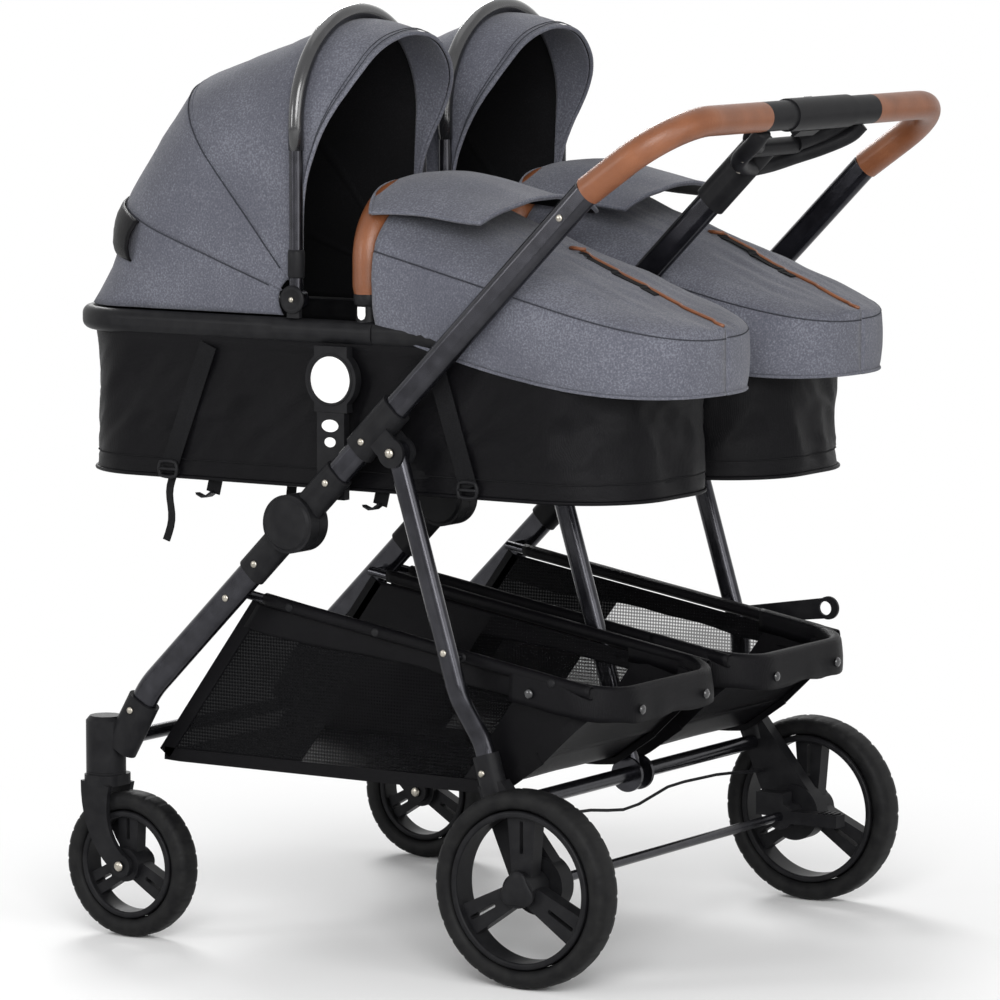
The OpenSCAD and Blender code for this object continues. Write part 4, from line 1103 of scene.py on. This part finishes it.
CUFF_START = 0.395
CUFF_R = 0.0078
CUFF_DROP = 0.036
CUFF = [(-0.0076, -0.020), (-0.0076, -0.010)]
CUFF += [(-CUFF_R * math.cos(math.pi * k / 8), CUFF_R * math.sin(math.pi * k / 8)) for k in range(9)]
CUFF += [(0.0086, -0.010), (0.0090, -0.020), (0.0086, -0.029), (CUFF_R, -CUFF_DROP)]
SNAP_ROWS = (4, 22, 34, 52)
SNAP_LEVEL = 12


def rear_rail():
    """Points of a basket's rear rail as (x, distance along the slope) with their outward directions."""
    turn = TRAY_LEN - TRAY_CORNER
    bend_out, bend_in = RAIL_OUT - TRAY_CORNER, RAIL_IN + TRAY_CORNER
    half = [((RAIL_OUT, lerp(CUFF_START, turn, k / 10)), (1, 0)) for k in range(10)]
    for k in range(13):
        a = math.radians(90 * k / 12)
        c, s = math.cos(a), math.sin(a)
        half.append(((bend_out + TRAY_CORNER * c, turn + TRAY_CORNER * s), (c, s)))
    back = [((lerp(bend_out, bend_in, k / 12), TRAY_LEN), (0, 1)) for k in range(1, 12)]
    mirrored = [((RAIL_IN + RAIL_OUT - x, along), (-c, s)) for (x, along), (c, s) in half[::-1]]
    return half + back + mirrored


RAIL_ROWS = rear_rail()


def cuff_point(sign, row, level):
    (x, along), (out_x, out_a) = RAIL_ROWS[row]
    reach, rise = CUFF[level]
    y = TRAY_Y - (along + out_a * reach) * math.cos(TRAY_SLOPE)
    z = TRAY_Z - along * math.sin(TRAY_SLOPE) + rise
    loose = max(0.0, -rise / CUFF_DROP)
    push = loose * (0.0015 + 0.0035 * fold(x, along, 0.2, 26.0))
    z -= loose * 0.004 * fold(x * 2, along * 2, 0.9, 14.0)
    return Vector((sign * (x + out_x * (reach + push)), y - out_a * push, z))


for side, sign in SIDES.items():
    rows, levels = len(RAIL_ROWS) - 1, len(CUFF) - 1
    cuff = grid("basket_cuff_" + side, lambda u, v: cuff_point(sign, round(u * rows), round(v * levels)),
                rows, levels, [BLACK], "basket_unit", thick=0.0010)
    for k in SNAP_ROWS:
        out_x, out_a = RAIL_ROWS[k][1]
        out = Vector((sign * out_x, -out_a, 0))
        rivet("cuff_snap_%s_%d" % (side, k), cuff_point(sign, k, SNAP_LEVEL) + out * 0.0014, out, 0.0062,
              "basket_unit", GLOSS)

# Padded leather bumper bars with short stitches along their inside.

BUMPER_DEEP, BUMPER_HIGH = 0.0203, 0.0205
BUMPER_BEND = 0.075
BUMPER_LOW = RIM_TOP + 0.0233
BUMPER_LEG = 0.05


def stitches(name, path, body):
    """Short threads laid along a path, one in each gap."""
    radius, gap, around = 0.0007, 0.0055, 5
    verts, faces = [], []
    thread = ring_faces(3, around) + end_faces(3, around)
    for start, stop in zip(path, path[1:]):
        run = stop - start
        side_way = run.orthogonal().normalized()
        rise = run.cross(side_way).normalized()
        count = max(1, int(run.length / gap))
        for k in range(count):
            a = start + run * ((k + 0.15) / count)
            b = start + run * ((k + 0.75) / count)
            faces += [tuple(len(verts) + corner for corner in face) for face in thread]
            for p, swell in ((a, 0.4), ((a + b) / 2, 1.2), (b, 0.4)):
                verts += [p + (side_way * c + rise * s) * radius * swell for c, s in circle(around)]
    return piece(name, verts, faces, [THREAD], body)


def bumper_arch(xc, radius, foot):
    """Points and outward directions along an arch at a radius from the bends' centres."""
    reach = BUMPER_HALF - BUMPER_BEND
    low, turn_z = BUMPER_LOW + foot, BUMPER_LOW + BUMPER_LEG
    half = [(reach + radius, lerp(low, turn_z, k / 13), 1, 0) for k in range(13)]
    for k in range(25):
        c, s = math.cos(math.pi * k / 48), math.sin(math.pi * k / 48)
        half.append((reach + radius * c, turn_z + radius * s, c, s))
    rows = []
    for end, points in ((-1, half), (1, half[::-1])):
        rows += [(Vector((xc + end * x, BUMPER_Y, z)), Vector((end * c, 0, s))) for x, z, c, s in points]
    return rows


def bumper_pad(name, xc, body):
    """The padded bar, drawn in at its ends and puckered on the inside of its bends."""
    rows = bumper_arch(xc, BUMPER_BEND, 0.003)
    verts, around = [], 32
    for i, (p, out) in enumerate(rows):
        from_end = min(i, len(rows) - 1 - i)
        swell = 0.86 + 0.14 * smooth(from_end / 5)
        for k in range(around):
            a = 2 * math.pi * k / around
            inside = max(0.0, -math.cos(a))
            crease = abs(fold(p.x * 3, p.z * 3, a * 0.02, 22.0))
            pucker = 0.0013 * inside * crease * smooth((from_end - 10) / 4)
            high = math.cos(a) * (BUMPER_HIGH * swell - pucker)
            verts.append(p + out * high + Vector((0, math.sin(a) * BUMPER_DEEP * swell, 0)))
    faces = ring_faces(len(rows), around) + end_faces(len(rows), around)
    return piece(name, verts, faces, [LEATHER], body)


for side, sign in SIDES.items():
    xc = sign * COT_X
    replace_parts(bumper_pad("bumper_pad_" + side, xc, "cot_" + side), "bumper_bar_" + side)
    inner = [p for p, out in bumper_arch(xc, BUMPER_BEND - BUMPER_HIGH - 0.0003, 0.012)]
    stitches("bumper_stitches_" + side, inner, "cot_" + side)

# The yoke that carries the middle moulding of the handle on the middle rail.

YOKE = ((0.0, -0.366, 0.966), (0.034, -0.373, 0.970), (0.066, -0.386, 0.978), (0.094, -0.410, 0.989),
        (0.114, -0.436, 1.003), (0.120, -0.450, 1.017))
YOKE_RADIUS = 0.0105
YOKE_SCREWS = (14, 30, 42)


def smooth_path(points, steps):
    """A smooth curve through points."""
    points = [Vector(p) for p in points]
    padded = [points[0] * 2 - points[1]] + points + [points[-1] * 2 - points[-2]]
    path = []
    for a, b, c, d in zip(padded, padded[1:], padded[2:], padded[3:]):
        for k in range(steps):
            t = k / steps
            path.append(0.5 * (b * 2 + (c - a) * t + (a * 2 - b * 5 + c * 4 - d) * t * t
                               + (b * 3 - a - c * 3 + d) * t ** 3))
    return path + [points[-1]]


for side, sign in SIDES.items():
    branch = smooth_path([(sign * x, y, z) for x, y, z in YOKE], 10)
    sweep("handle_yoke_" + side, branch, YOKE_RADIUS, PLASTIC, "upper_frame", 18)
    for k, place in enumerate(YOKE_SCREWS):
        rivet("yoke_screw_%s_%d" % (side, k), branch[place] + Vector((0, 0.0035, -0.0096)), (0, 0.35, -0.94),
              0.0028, "upper_frame")
